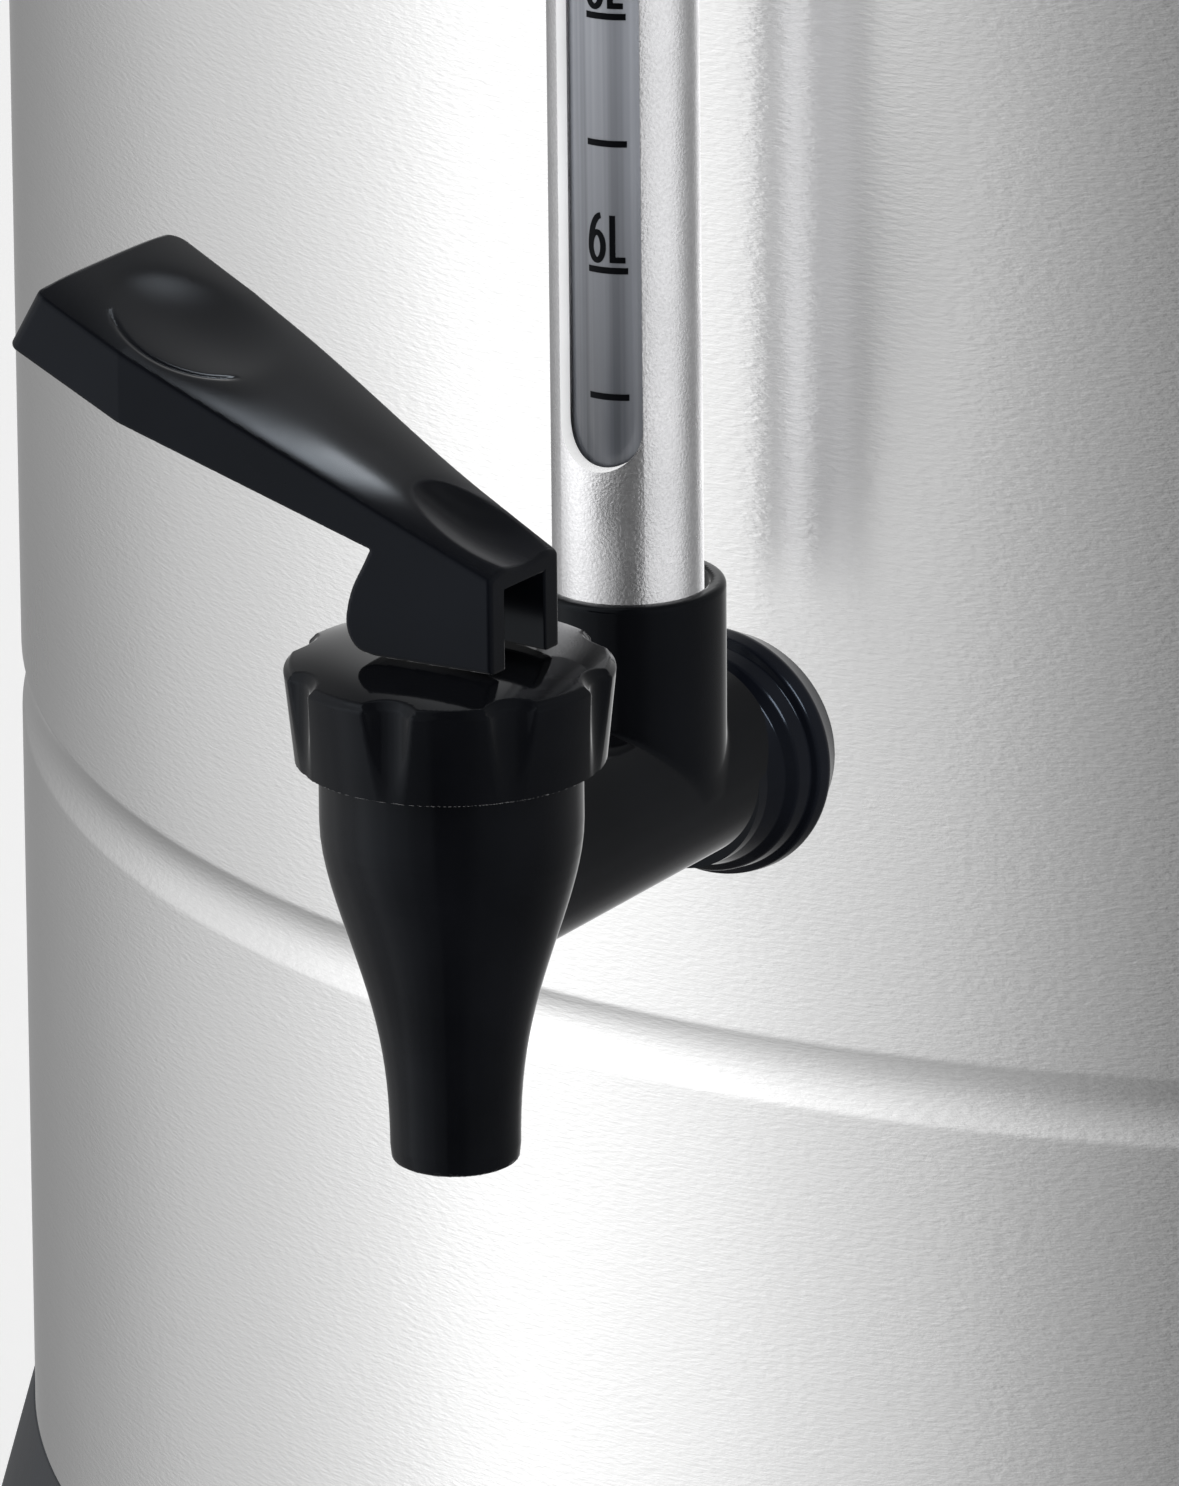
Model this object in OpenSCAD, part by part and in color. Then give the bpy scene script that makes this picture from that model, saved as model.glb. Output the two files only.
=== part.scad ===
// Electric water boiler: a steel urn with a sight gauge, a self-closing lever tap and a heated base

/* [Drum] */
// outer radius of the steel drum
drum_r = 154; // [148:0.5:160]
// thickness of the drum sheet
sheet_t = 0.8; // [0.6:0.1:1.2]
// height of the drum's lower edge above the table
edge_z = 72; // [72:1:80]
// height of the swaged groove above the drum's lower edge
groove_rise = 84.5; // [80:0.5:92]
// height of the groove's opening
groove_w = 7.2; // [6:0.2:8]
// depth of the groove
groove_d = 2; // [1.5:0.1:2.5]
// height of the tank floor above the groove
floor_rise = 13.4; // [12:0.2:15]
// thickness of the tank floor
floor_t = 1; // [0.8:0.1:1.5]
// height of the rim above the tank floor
tank_h = 300; // [294:1:320]
// radius of the rolled bead round the rim
bead_r = 2.4; // [2:0.1:2.8]

/* [Lid] */
// rise of the lid's crown above the rim
lid_rise = 26; // [20:1:32]
// depth of the ring that drops into the drum
plug_d = 11; // [8:1:14]
// gap all round between that ring and the drum
plug_gap = 1.5; // [1:0.1:2]
// gap under the brim of the lid
brim_gap = 0.3; // [0.3:0.1:0.6]
// radius of the flat seat in the middle of the lid
seat_r = 22; // [20:1:26]
// radius of the lid knob
lid_knob_r = 21; // [18:0.5:24]
// height of the lid knob
lid_knob_h = 27; // [24:1:32]
// height of the collar under the lid knob
ferrule_h = 4; // [3:0.5:6]

/* [Handles] */
// height of the handles below the rim
handle_drop = 96; // [80:2:120]
// angle between a handle's middle and each of its posts
handle_a = 20; // [17:1:23]
// distance from the drum to the middle of the grip
handle_out = 34; // [31:1:38]
// radius of the grip
grip_r = 8; // [7:0.25:9]
// radius of the posts
post_r = 7; // [6:0.25:8]
// radius of the fixing screws of the handles and of the gauge
fix_r = 2.5; // [2:0.1:2.8]

/* [Sight gauge] */
// distance from the drum to the gauge's axis
gauge_gap = 22; // [20:0.5:25]
// outer radius of the slotted cover
cover_r = 7.8; // [7.4:0.1:8.2]
// wall of the slotted cover
cover_t = 1.8; // [1.5:0.1:2]
// outer radius of the glass tube
tube_r = 5.6; // [5.2:0.1:5.8]
// wall of the glass tube
tube_t = 1.3; // [1:0.1:1.6]
// half the angle that the slot takes out of the cover
slot_a = 36; // [30:1:40]
// turn of the slot away from straight ahead
slot_turn = 6; // [-10:1:10]
// height of the slot's lower end above the tap's stem
slot_up = 36; // [34:0.5:40]
// distance of the gauge's top below the rim
gauge_drop = 14; // [12:1:20]

/* [Tap] */
// height of the tap's stem above the tank floor
stem_rise = 23.7; // [23:0.1:30]
// distance from the drum to the tap's vertical axis
tap_reach = 58.6; // [56:0.2:62]
// radius of the stem at the tap
stem_r = 9.4; // [9:0.1:9.6]
// growth of the stem's radius towards the drum
stem_draft = 0.9; // [0.4:0.1:1]
// radius of the threaded shank through the drum
shank_r = 8.4; // [8:0.1:8.8]
// radius of the collar against the drum
collar_r = 14.7; // [14:0.1:16]
// thickness of the collar
collar_t = 5.4; // [5:0.1:6]
// outer radius of the socket that holds the gauge
socket_r = 10.1; // [9.9:0.1:10.6]
// height of the socket above the stem
socket_h = 22.8; // [22:0.1:24]
// radius of the valve body under the bonnet
valve_r = 13.5; // [13:0.1:14]
// height of the valve body above the stem
valve_h = 14.5; // [14:0.1:15.5]
// radius of the spout's lower end
tip_r = 6.7; // [6.4:0.1:7.2]
// depth of the spout's lower end below the stem
tip_d = 28.8; // [27:0.2:31]
// radius of the bonnet's upper edge
bonnet_r = 17; // [16.6:0.1:17.6]
// height of the bonnet's fluted skirt
bonnet_h = 9.7; // [9.4:0.1:10.4]
// number of flutes round the bonnet
flutes = 8; // [6:1:10]

/* [Lever] */
// direction of the lever, turned from the front towards the left
lever_turn = 95; // [80:1:110]
// height of the pivot pin above the stem
pin_up = 32; // [31.8:0.1:33]
// distance from the pivot pin to the lever's tip
lever_l = 43.4; // [40:0.2:48]
// rise of the lever's arm
lever_rise = 23.2; // [21:0.2:24]
// width of the lever at its tip
lever_tip_w = 22.2; // [20:0.2:24]
// width of the lever's block at its end
block_w = 12.2; // [11.8:0.1:13]
// width of the slot in the lever's block
lever_slot_w = 7; // [6.8:0.1:7.4]
// radius of the lever's heel
heel_r = 5.2; // [5:0.1:5.3]
// distance from the pivot pin to the middle of the heel
heel_x = 3.6; // [3.2:0.1:3.8]
// angle that the lever is pressed down
press_a = 30; // [24:1:30]
// distance from the pivot pin to the end of the lever's block
block_l = 9.4; // [9:0.1:10]
// height of the block's upper edge above the pivot pin
block_up = 5.3; // [5:0.1:5.6]
// thickness of the lever at its tip
lever_t = 7.4; // [7:0.2:9]

/* [Base] */
// height of the feet under the base
foot_h = 8; // [6:0.5:10]
// flare of the base from the vertical
flare = 15.4; // [13:0.2:17]
// wall of the base
base_t = 3; // [2.5:0.1:3.5]
// half the width of the control panel
panel_w = 56; // [54:1:60]
// distance of the panel's face outside the base's lower edge
panel_out = 2.5; // [2:0.5:5]
// wall of the control panel
panel_t = 2.4; // [2:0.1:2.8]
// radius of the temperature knob
knob_r = 17; // [14:0.5:18]
// depth of the temperature knob
knob_d = 15; // [13:0.5:17]
// radius of the temperature spindle
spindle_r = 3; // [2.6:0.1:3.2]
// width of the switch rocker
rocker_w = 15; // [13:0.5:16]
// height of the switch rocker
rocker_h = 23; // [20:0.5:24]
// tilt of the switch rocker either side of the middle
rocker_tilt = 9; // [7:1:10]
// radius of the lamp lenses
lamp_r = 4.5; // [4:0.1:5]
// radius of the feet
foot_r = 13; // [11:0.5:15]

/* [Heater] */
// radius of the heater loop
loop_r = 92; // [84:1:100]
// radius of the heater tube
rod_r = 4; // [3.5:0.1:4.4]
// height of the heater loop above the tank floor
loop_up = 16; // [13:1:20]

/* [Fits] */
// running clearance of a shaft in its bore
run_gap = 0.05; // [0.03:0.01:0.09]
// clearance of a screw or a bush in its hole
hole_gap = 0.2; // [0.1:0.05:0.3]
// clearance between parts that move past each other
move_gap = 0.4; // [0.35:0.05:0.5]

/* [Hidden] */
$fn = 96;
drum_fn = 360;
knuckle = 1.15;
groove_z = edge_z + groove_rise;
floor_z = groove_z + floor_rise;
rim_z = floor_z + tank_h;
stem_z = floor_z + stem_rise;
in_r = drum_r - sheet_t;
gauge_y = drum_r + gauge_gap;
tap_y = drum_r + tap_reach;
tube_bore = tube_r - tube_t;
lip = 0.2;
base_r = drum_r + lip + (edge_z - foot_h) * tan(flare);
panel_y = base_r + panel_out;
panel_z0 = foot_h + 7;
panel_z1 = edge_z - 7;
panel_z = (panel_z0 + panel_z1) / 2;
plug_r = in_r - plug_gap;
brim_z = rim_z + brim_gap;
crown_z = brim_z + lid_rise;
handle_z = rim_z - handle_drop;
gauge_top = rim_z - gauge_drop;
cap_h = 22;
cap_air = 4;
cap_roof = 3;
cover_in = 8;
cover_z0 = stem_z + socket_h - cover_in;
cover_z1 = gauge_top - cap_roof;
slot_z0 = stem_z + slot_up;
slot_end = 6;
slot_z1 = gauge_top - cap_h - slot_end;
seal_h = 6;
seal_z0 = cover_z0 - seal_h;
seal_r = cover_r - 0.5;
seal_floor = 1.5;
chamber_wall = 4.7;
chamber_r = valve_r - chamber_wall;
chamber_d = 4;
stem_bore = chamber_d - 0.2;
neck_r = valve_r - 2;
neck_h = 5;
bonnet_plate = 4;
deck_z = stem_z + valve_h + bonnet_h;
pin_z = stem_z + pin_up;
heel_drop = 0.2;
heel_z = pin_z - heel_drop - heel_r;
boss_z = heel_z - 0.3;
boss_in = 7;
guide_r = 4.6;
guide_flange = 2;
guide_flange_t = 1.6;
stalk_r = 2.4;
stalk_flange = 3;
stalk_flange_t = 1.2;
eye_r = 2.6;
pin_r = 1.5;
pin_inset = 1;
plate_z = deck_z - bonnet_plate;
guide_z = plate_z - run_gap - guide_flange_t;
cup_z = stem_z - chamber_d + run_gap;
cup_h = 5;
cup_lip = 1.5;
spring_wire_r = 0.6;
spring_out = 2.2;
spring_turns = 5;
spout_t = 1.6;
slot_in = (stalk_r + move_gap + heel_r * sin(press_a)) / cos(press_a);
slot_up_z = eye_r + move_gap;
dish_r = 40;
dish_d = 1.2;
dish_in = 11.4;
lever_nose = 3.2;
lever_edge = 0.6;
lever_corner = 3;
belly_d = 13.3;
belly_in = 9.9;
throat_x = 5.3;
throat_z = 5.2;
throat_a = 30;
head_out = 2.2;
head_t = 2.4;
grip_screw = 14;
cap_screw = 5.5;
cap_out = 2.4;
cap_edge = 2;
nut_t = 7;
nut_out = 4;
shank_in = 15;
gasket_t = 3.5;
gasket_out = 5;
brim_out = 6;
brim_h = 3;
shoulder = 2;
vent_r = 2;
vent_in = 32;
vent_a = 12;
ferrule_in = 5;
lid_screw_l = 12;
post_flange = 4;
post_flange_t = 4;
cover_top = foot_h + 3.5;
cover_plate_t = 1.2;
flange_t = 3;
back_in = 3.5;
back_y = base_r - back_in;
spigot_h = 10;
control_in = 22;
switch_x = panel_w - control_in;
lamp_x = control_in - panel_w;
lamp_dz = 8;
lamp_step = 0.6;
thermo_d = 18;
spindle_in = 11.5;
knob_skin = 3;
knob_flange = 3;
bush_out = 2;
trunnion_r = 1.5;
trunnion_l = 1.2;
rocker_in = 4;
frame_t = 2;
inlet_w = 24;
inlet_h = 16;
inlet_d = 16;
inlet_t = 2;
inlet_wall = 3;
inlet_flange = 11;
plate_t = 1.5;
inlet_hole_x = 20;
inlet_screw_r = 1.6;
leg_a = 20;
leg_x = loop_r * sin(leg_a);
leg_y = loop_r * cos(leg_a);
leg_drop = 22;
terminal_drop = 10;
loop_z = floor_z + loop_up;
bush_t = 2.5;
bush_flange = 3;
bush_nut_t = 6;
bush_l = 14;
bulb_r = 3;
bulb_l = 60;
bulb_x = 8;
clip_w = 36;
clip_d = 16;
clip_t = 2;
reset_r = 3;
reset_x = -70;
reset_y = 60;
reset_out = 1.6;
reset_l = 7.5;
block_pitch = 16;
block_y = 75;
block_d = 20;
wire_r = 1.4;
wire_up = 10;
peg_r = 3;
foot_in = 38;
foot_ring = base_r - foot_in;
screw_r = 2;
screw_in = 13;
screw_l = 11;
corners = [45 : 90 : 315];
screw_ring = base_r - base_t - screw_in;
axis_y = (tap_y + bonnet_r - base_r) / 2;

// inward depth of the groove at a height
function groove(z) = abs(z - groove_z) < groove_w / 2
    ? groove_d * (1 + cos(360 * (z - groove_z) / groove_w)) / 2
    : 0;
// outer radius of the spout at a share of its height
function ease(t) = t * t * (3 - 2 * t);
function spout_r(t) = tip_r + (valve_r - tip_r) * ease(pow(t, 1.4));
// height of the lid's crown at a radius
function crown(r) = r < seat_r
    ? crown_z
    : crown_z - (lid_rise - shoulder) * pow((r - seat_r) / (plug_r - seat_r), 2);
// outer radius of the base at a height
function skirt_r(z) = drum_r + lip + (edge_z - z) * tan(flare);

// puts the drum's axis where the origin is in the middle of the whole
module place() {
    translate([0, axis_y, 0]) children();
}

// a cylinder that runs forward from a distance out to the front
module forward(y, z, r, h, x = 0) {
    translate([x, -y, z]) rotate([90, 0, 0]) cylinder(r = r, h = h);
}

// a ring with a vertical axis
module ring(r, bore, z, h) {
    translate([0, 0, z]) difference() {
        cylinder(r = r, h = h);
        translate([0, 0, -1]) cylinder(r = bore, h = h + 2);
    }
}

// one round wire through a list of points
module wire(points, r) {
    for (i = [0 : len(points) - 2]) {
        d = points[i + 1] - points[i];
        translate(points[i])
            rotate([0, acos(d[2] / norm(d)), atan2(d[1], d[0])])
            cylinder(r = r, h = norm(d), $fn = 24);
    }
    for (i = [1 : len(points) - 2]) translate(points[i]) sphere(r = knuckle * r, $fn = 24);
}

// a coil of round wire that stands on the plane z = 0
module coil(r, wire_r, h, turns) {
    sides = 6;
    per_turn = 16;
    rings = turns * per_turn;
    rise = h - 2 * wire_r;
    points = [for (i = [0 : rings], j = [0 : sides - 1])
        let (a = 360 * i / per_turn, b = 360 * j / sides, d = r + wire_r * cos(b))
        [d * cos(a), d * sin(a), wire_r + rise * i / rings + wire_r * sin(b)]];
    walls = [for (i = [0 : rings - 1], j = [0 : sides - 1])
        let (k = (j + 1) % sides, m = i * sides, n = m + sides)
        each [[m + j, n + j, n + k], [m + j, n + k, m + k]]];
    caps = [for (j = [1 : sides - 2])
        each [[0, j, j + 1], [rings * sides, rings * sides + j + 1, rings * sides + j]]];
    polyhedron(points, concat(walls, caps));
}

// a hexagon nut with a vertical axis
module hex_nut(across, bore, h) {
    difference() {
        cylinder(r = across / sqrt(3), h = h, $fn = 6);
        translate([0, 0, -1]) cylinder(r = bore, h = h + 2);
    }
}

// a fixing screw put through the drum from inside, pointing outwards along X
module inside_screw(reach) {
    translate([in_r - head_t - hole_gap, 0, 0]) rotate([0, 90, 0]) cylinder(r = fix_r + head_out, h = head_t);
    translate([in_r - head_t, 0, 0]) rotate([0, 90, 0]) cylinder(r = fix_r, h = reach + head_t + sheet_t);
}

// the places of the handle posts
module at_posts() {
    for (side = [0, 180], a = [-handle_a, handle_a])
        rotate([0, 0, side + a]) translate([0, 0, handle_z]) children();
}

module body_shell() {
    steps = 16;
    bend = [for (i = [0 : steps]) groove_z - groove_w / 2 + groove_w * i / steps];
    outer = [for (z = bend) [drum_r - groove(z), z]];
    inner = [for (i = [0 : steps]) [in_r - groove(bend[steps - i]), bend[steps - i]]];
    color("silver") place() difference() {
        union() {
            rotate_extrude($fn = drum_fn) polygon(concat(
                [[in_r, edge_z], [drum_r, edge_z]],
                outer,
                [[drum_r, rim_z - bead_r], [in_r, rim_z - bead_r]],
                inner));
            translate([0, 0, rim_z - bead_r]) rotate_extrude($fn = drum_fn)
                translate([in_r + bead_r, 0]) circle(r = bead_r, $fn = 24);
        }
        forward(drum_r - 10, stem_z, shank_r + hole_gap, 20);
        forward(drum_r - 10, gauge_top - cap_h / 2, fix_r + hole_gap, 20);
        at_posts() translate([drum_r - 10, 0, 0]) rotate([0, 90, 0])
            cylinder(r = fix_r + hole_gap, h = 20);
    }
}

module tank_floor() {
    skirt_z = groove_z + groove_w / 2 + 0.6;
    color("silver") place() difference() {
        rotate_extrude($fn = drum_fn) polygon([
            [0, floor_z - floor_t], [in_r - floor_t, floor_z - floor_t],
            [in_r - floor_t, skirt_z], [in_r, skirt_z],
            [in_r, floor_z], [0, floor_z]]);
        for (s = [-1, 1]) translate([s * leg_x, leg_y, floor_z - 2 * floor_t])
            cylinder(r = rod_r + bush_t + hole_gap, h = 3 * floor_t);
    }
}

module lid_shell() {
    steps = 14;
    brim_r = drum_r + brim_out;
    rs = [for (i = [0 : steps]) seat_r + (plug_r - seat_r) * i / steps];
    top = [for (r = rs) [r, crown(r)]];
    under = [for (i = [0 : steps]) [rs[steps - i], crown(rs[steps - i]) - sheet_t]];
    color("silver") place() difference() {
        union() {
            rotate_extrude() polygon(concat([[0, crown_z]], top, under, [[0, crown_z - sheet_t]]));
            ring(plug_r, plug_r - sheet_t, rim_z - plug_d, brim_gap + plug_d + shoulder);
            ring(brim_r, plug_r - sheet_t, brim_z, sheet_t);
            ring(brim_r, brim_r - sheet_t, brim_z - brim_h, brim_h + sheet_t);
        }
        translate([0, 0, crown_z - lid_rise]) cylinder(r = fix_r + hole_gap, h = 2 * lid_rise);
        for (a = [-vent_a, 0, vent_a]) rotate([0, 0, 90 + a]) translate([plug_r - vent_in, 0, brim_z])
            cylinder(r = vent_r, h = 2 * lid_rise);
    }
}

module lid_ferrule() {
    color("dimgray") place() ring(lid_knob_r - ferrule_in, fix_r + hole_gap, crown_z, ferrule_h);
}

module lid_knob() {
    z = crown_z + ferrule_h;
    r = lid_knob_r;
    h = lid_knob_h;
    color("black") place() difference() {
        translate([0, 0, z]) rotate_extrude() polygon([
            [0, 0], [r - 8, 0], [r - 9, h * 0.18], [r - 8.6, h * 0.36], [r - 5, h * 0.5], [r - 1, h * 0.6],
            [r, h * 0.7], [r - 0.6, h * 0.82], [r - 3, h * 0.92], [r - 8, h * 0.98], [0, h]]);
        translate([0, 0, z - 1]) cylinder(r = fix_r, h = 1 + lid_screw_l);
    }
}

module lid_screw() {
    color("silver") place() {
        z0 = crown_z - sheet_t - head_t;
        translate([0, 0, z0]) cylinder(r = fix_r + head_out, h = head_t);
        translate([0, 0, z0]) cylinder(r = fix_r, h = crown_z + ferrule_h + lid_screw_l - z0);
    }
}

module side_handle(turn) {
    color("black") place() rotate([0, 0, turn]) translate([0, 0, handle_z]) difference() {
        union() {
            rotate([0, 0, -handle_a]) rotate_extrude(angle = 2 * handle_a)
                translate([drum_r + handle_out, 0]) circle(r = grip_r, $fn = 48);
            for (a = [-handle_a, handle_a]) rotate([0, 0, a]) {
                translate([drum_r + handle_out, 0, 0]) sphere(r = knuckle * grip_r);
                translate([drum_r - post_r, 0, 0]) rotate([0, 90, 0])
                    cylinder(r = post_r, h = handle_out + post_r);
                translate([drum_r - post_r, 0, 0]) rotate([0, 90, 0])
                    cylinder(r = post_r + post_flange, h = post_r + post_flange_t);
            }
        }
        translate([0, 0, -handle_out]) cylinder(r = drum_r, h = 2 * handle_out, $fn = drum_fn);
        for (a = [-handle_a, handle_a]) rotate([0, 0, a]) translate([drum_r - post_r, 0, 0])
            rotate([0, 90, 0]) cylinder(r = fix_r, h = post_r + grip_screw);
    }
}

module handle_right() {
    side_handle(0);
}

module handle_left() {
    side_handle(180);
}

module handle_screws() {
    color("silver") place() at_posts() inside_screw(grip_screw);
}

module gauge_cover() {
    half = cover_r * sin(slot_a);
    low = [for (a = [180 : 15 : 360]) [half * cos(a), slot_z0 + half + half * sin(a)]];
    high = [for (a = [0 : 15 : 180]) [half * cos(a), slot_z1 - half + half * sin(a)]];
    color("lightgray") place() translate([0, -gauge_y, 0]) difference() {
        ring(cover_r, cover_r - cover_t, cover_z0, cover_z1 - cover_z0);
        rotate([0, 0, slot_turn]) rotate([90, 0, 0]) linear_extrude(height = 2 * cover_r)
            polygon(concat(low, high));
    }
}

module gauge_tube() {
    color("lightblue") place() translate([0, -gauge_y, 0])
        ring(tube_r, tube_bore, seal_z0 + seal_floor, gauge_top - cap_air - seal_z0 - seal_floor);
}

module gauge_seal() {
    color("white") place() translate([0, -gauge_y, 0]) difference() {
        translate([0, 0, seal_z0]) cylinder(r = seal_r, h = seal_h);
        translate([0, 0, seal_z0 + seal_floor]) cylinder(r = tube_r, h = seal_h);
        translate([0, 0, seal_z0 - seal_floor]) cylinder(r = tube_bore - 0.8, h = 2 * seal_h);
    }
}

module gauge_cap() {
    z0 = gauge_top - cap_h;
    mid = gauge_top - cap_h / 2;
    arm_w = 12;
    arm_h = 14;
    air_r = 1.2;
    color("black") place() difference() {
        union() {
            translate([0, -gauge_y, z0]) cylinder(r = cover_r + cap_out, h = cap_h - cap_edge);
            translate([0, -gauge_y, gauge_top - cap_edge])
                cylinder(r1 = cover_r + cap_out, r2 = cover_r + cap_out - cap_edge, h = cap_edge);
            translate([-arm_w / 2, -gauge_y, mid - arm_h / 2]) cube([arm_w, gauge_gap + cap_air, arm_h]);
        }
        translate([0, 0, z0 - 1]) cylinder(r = drum_r, h = cap_h + 2, $fn = drum_fn);
        translate([0, -gauge_y, z0 - 1]) cylinder(r = cover_r + hole_gap / 2, h = cover_z1 - z0 + 1);
        translate([0, -gauge_y, cover_z1 - cap_roof]) cylinder(r = air_r, h = 3 * cap_roof);
        forward(drum_r - 1, mid, fix_r, 1 + cap_screw);
    }
}

module gauge_grommet() {
    color("white") place() translate([0, -gauge_y, 0])
        ring(cover_r - cover_t, tube_r, gauge_top - cap_air - 8, seal_h);
}

module gauge_screw() {
    color("silver") place() translate([0, 0, gauge_top - cap_h / 2]) rotate([0, 0, -90])
        inside_screw(cap_screw);
}

module tap_body() {
    steps = 18;
    socket_edge = 1;
    waist_up = 8;
    spout = [for (i = [0 : steps]) [spout_r(i / steps), -tip_d + (tip_d + waist_up) * i / steps]];
    color("black") place() difference() {
        union() {
            translate([0, -(drum_r + collar_t), stem_z]) rotate([90, 0, 0])
                cylinder(r1 = stem_r + stem_draft, r2 = stem_r, h = tap_reach - collar_t);
            forward(in_r - shank_in, stem_z, shank_r, shank_in + sheet_t + collar_t);
            translate([0, -gauge_y, stem_z]) cylinder(r = socket_r, h = socket_h - socket_edge);
            translate([0, -gauge_y, stem_z + socket_h - socket_edge])
                cylinder(r1 = socket_r, r2 = socket_r - socket_edge, h = socket_edge);
            translate([0, -tap_y, stem_z]) rotate_extrude() polygon(concat(
                [[0, -tip_d]], spout,
                [[valve_r, valve_h], [neck_r, valve_h], [neck_r, valve_h + neck_h], [0, valve_h + neck_h]]));
        }
        forward(in_r - 2 * shank_in, stem_z, stem_bore, 2 * shank_in + sheet_t + tap_reach);
        translate([0, -gauge_y, stem_z]) cylinder(r = tube_bore - 1.1, h = socket_h);
        translate([0, -gauge_y, seal_z0]) cylinder(r = seal_r, h = socket_h);
        translate([0, -gauge_y, cover_z0]) cylinder(r = cover_r + hole_gap / 2, h = socket_h);
        translate([0, -tap_y, stem_z - chamber_d]) cylinder(r = chamber_r, h = tip_d + valve_h);
        translate([0, -tap_y, stem_z - tip_d - 1]) cylinder(r = tip_r - spout_t, h = tip_d);
    }
}

module tap_collar() {
    dip = 2;
    back = drum_r - dip;
    step_in = 1.5;
    step_t = 1.1;
    color("black") place() difference() {
        union() {
            forward(back, stem_z, collar_r, dip + collar_t - 2 * step_t);
            forward(back, stem_z, collar_r - step_in, dip + collar_t - step_t);
            forward(back, stem_z, collar_r - 2 * step_in, dip + collar_t);
        }
        translate([0, 0, stem_z - 2 * collar_r]) cylinder(r = drum_r, h = 4 * collar_r, $fn = drum_fn);
        forward(back - dip, stem_z, shank_r + hole_gap, 4 * collar_t);
    }
}

module tap_gasket() {
    color("white") place() intersection() {
        difference() {
            forward(in_r - gasket_t, stem_z, shank_r + gasket_out, 2 * gasket_t);
            forward(in_r - 2 * gasket_t, stem_z, shank_r + hole_gap, 4 * gasket_t);
        }
        translate([0, 0, stem_z - 2 * collar_r]) cylinder(r = in_r, h = 4 * collar_r, $fn = drum_fn);
    }
}

module tap_nut() {
    color("goldenrod") place() translate([0, nut_t + gasket_t - in_r, stem_z]) rotate([90, 0, 0])
        hex_nut(2 * (shank_r + nut_out), shank_r + hole_gap / 2, nut_t);
}

module tap_bonnet() {
    z0 = stem_z + valve_h;
    low_r = bonnet_r - 1.1;
    top_edge = 1;
    flute_r = 3.6;
    flute_d = 1.3;
    flute_turn = 1 / 6;
    color("black") place() translate([0, -tap_y, 0]) difference() {
        union() {
            translate([0, 0, z0]) cylinder(r1 = low_r, r2 = bonnet_r, h = bonnet_h - top_edge);
            translate([0, 0, deck_z - top_edge])
                cylinder(r1 = bonnet_r, r2 = bonnet_r - top_edge, h = top_edge);
            translate([0, 0, deck_z])
                cylinder(r1 = bonnet_r - 2 * top_edge, r2 = bonnet_r - boss_in, h = boss_z - deck_z);
        }
        translate([0, 0, z0 - 1]) cylinder(r = neck_r + hole_gap / 2, h = plate_z - z0 + 1);
        translate([0, 0, z0]) cylinder(r = guide_r + run_gap, h = 3 * bonnet_h);
        for (i = [0 : flutes - 1]) rotate([0, 0, 360 * (i + flute_turn) / flutes])
            translate([bonnet_r + flute_r - flute_d, 0, z0 - 1]) cylinder(r = flute_r, h = bonnet_h + 2);
    }
}

module tap_guide() {
    color("ivory") place() translate([0, -tap_y, 0]) difference() {
        union() {
            translate([0, 0, guide_z]) cylinder(r = guide_r, h = boss_z - guide_z);
            translate([0, 0, guide_z]) cylinder(r = guide_r + guide_flange, h = guide_flange_t);
        }
        translate([0, 0, guide_z - 1]) cylinder(r = stalk_r + run_gap, h = boss_z - guide_z + 2);
    }
}

module tap_plunger() {
    color("ivory") place() translate([0, -tap_y, 0]) difference() {
        union() {
            translate([0, 0, cup_z + cup_h]) cylinder(r = stalk_r, h = pin_z - cup_z - cup_h);
            translate([0, 0, cup_z + cup_h]) cylinder(r = stalk_r + stalk_flange, h = stalk_flange_t);
            translate([0, 0, pin_z]) rotate([0, 0, -90 - lever_turn]) rotate([90, 0, 0])
                translate([0, 0, -lever_slot_w / 2 + move_gap])
                cylinder(r = eye_r, h = lever_slot_w - 2 * move_gap);
        }
        translate([0, 0, pin_z]) rotate([0, 0, -90 - lever_turn]) rotate([90, 0, 0])
            translate([0, 0, -block_w / 2]) cylinder(r = pin_r + run_gap, h = block_w);
    }
}

module tap_seat() {
    cup_gap = 1;
    color("white") place() translate([0, -tap_y, cup_z]) {
        cylinder(r1 = chamber_r - 2 * cup_gap, r2 = chamber_r - cup_gap, h = cup_lip);
        translate([0, 0, cup_lip])
            cylinder(r1 = chamber_r - cup_gap, r2 = stalk_r + stalk_flange, h = cup_h - cup_lip);
    }
}

module tap_spring() {
    z0 = cup_z + cup_h + stalk_flange_t;
    color("silver") place() translate([0, -tap_y, z0])
        coil(stalk_r + spring_out, spring_wire_r, guide_z - z0, spring_turns);
}

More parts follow.
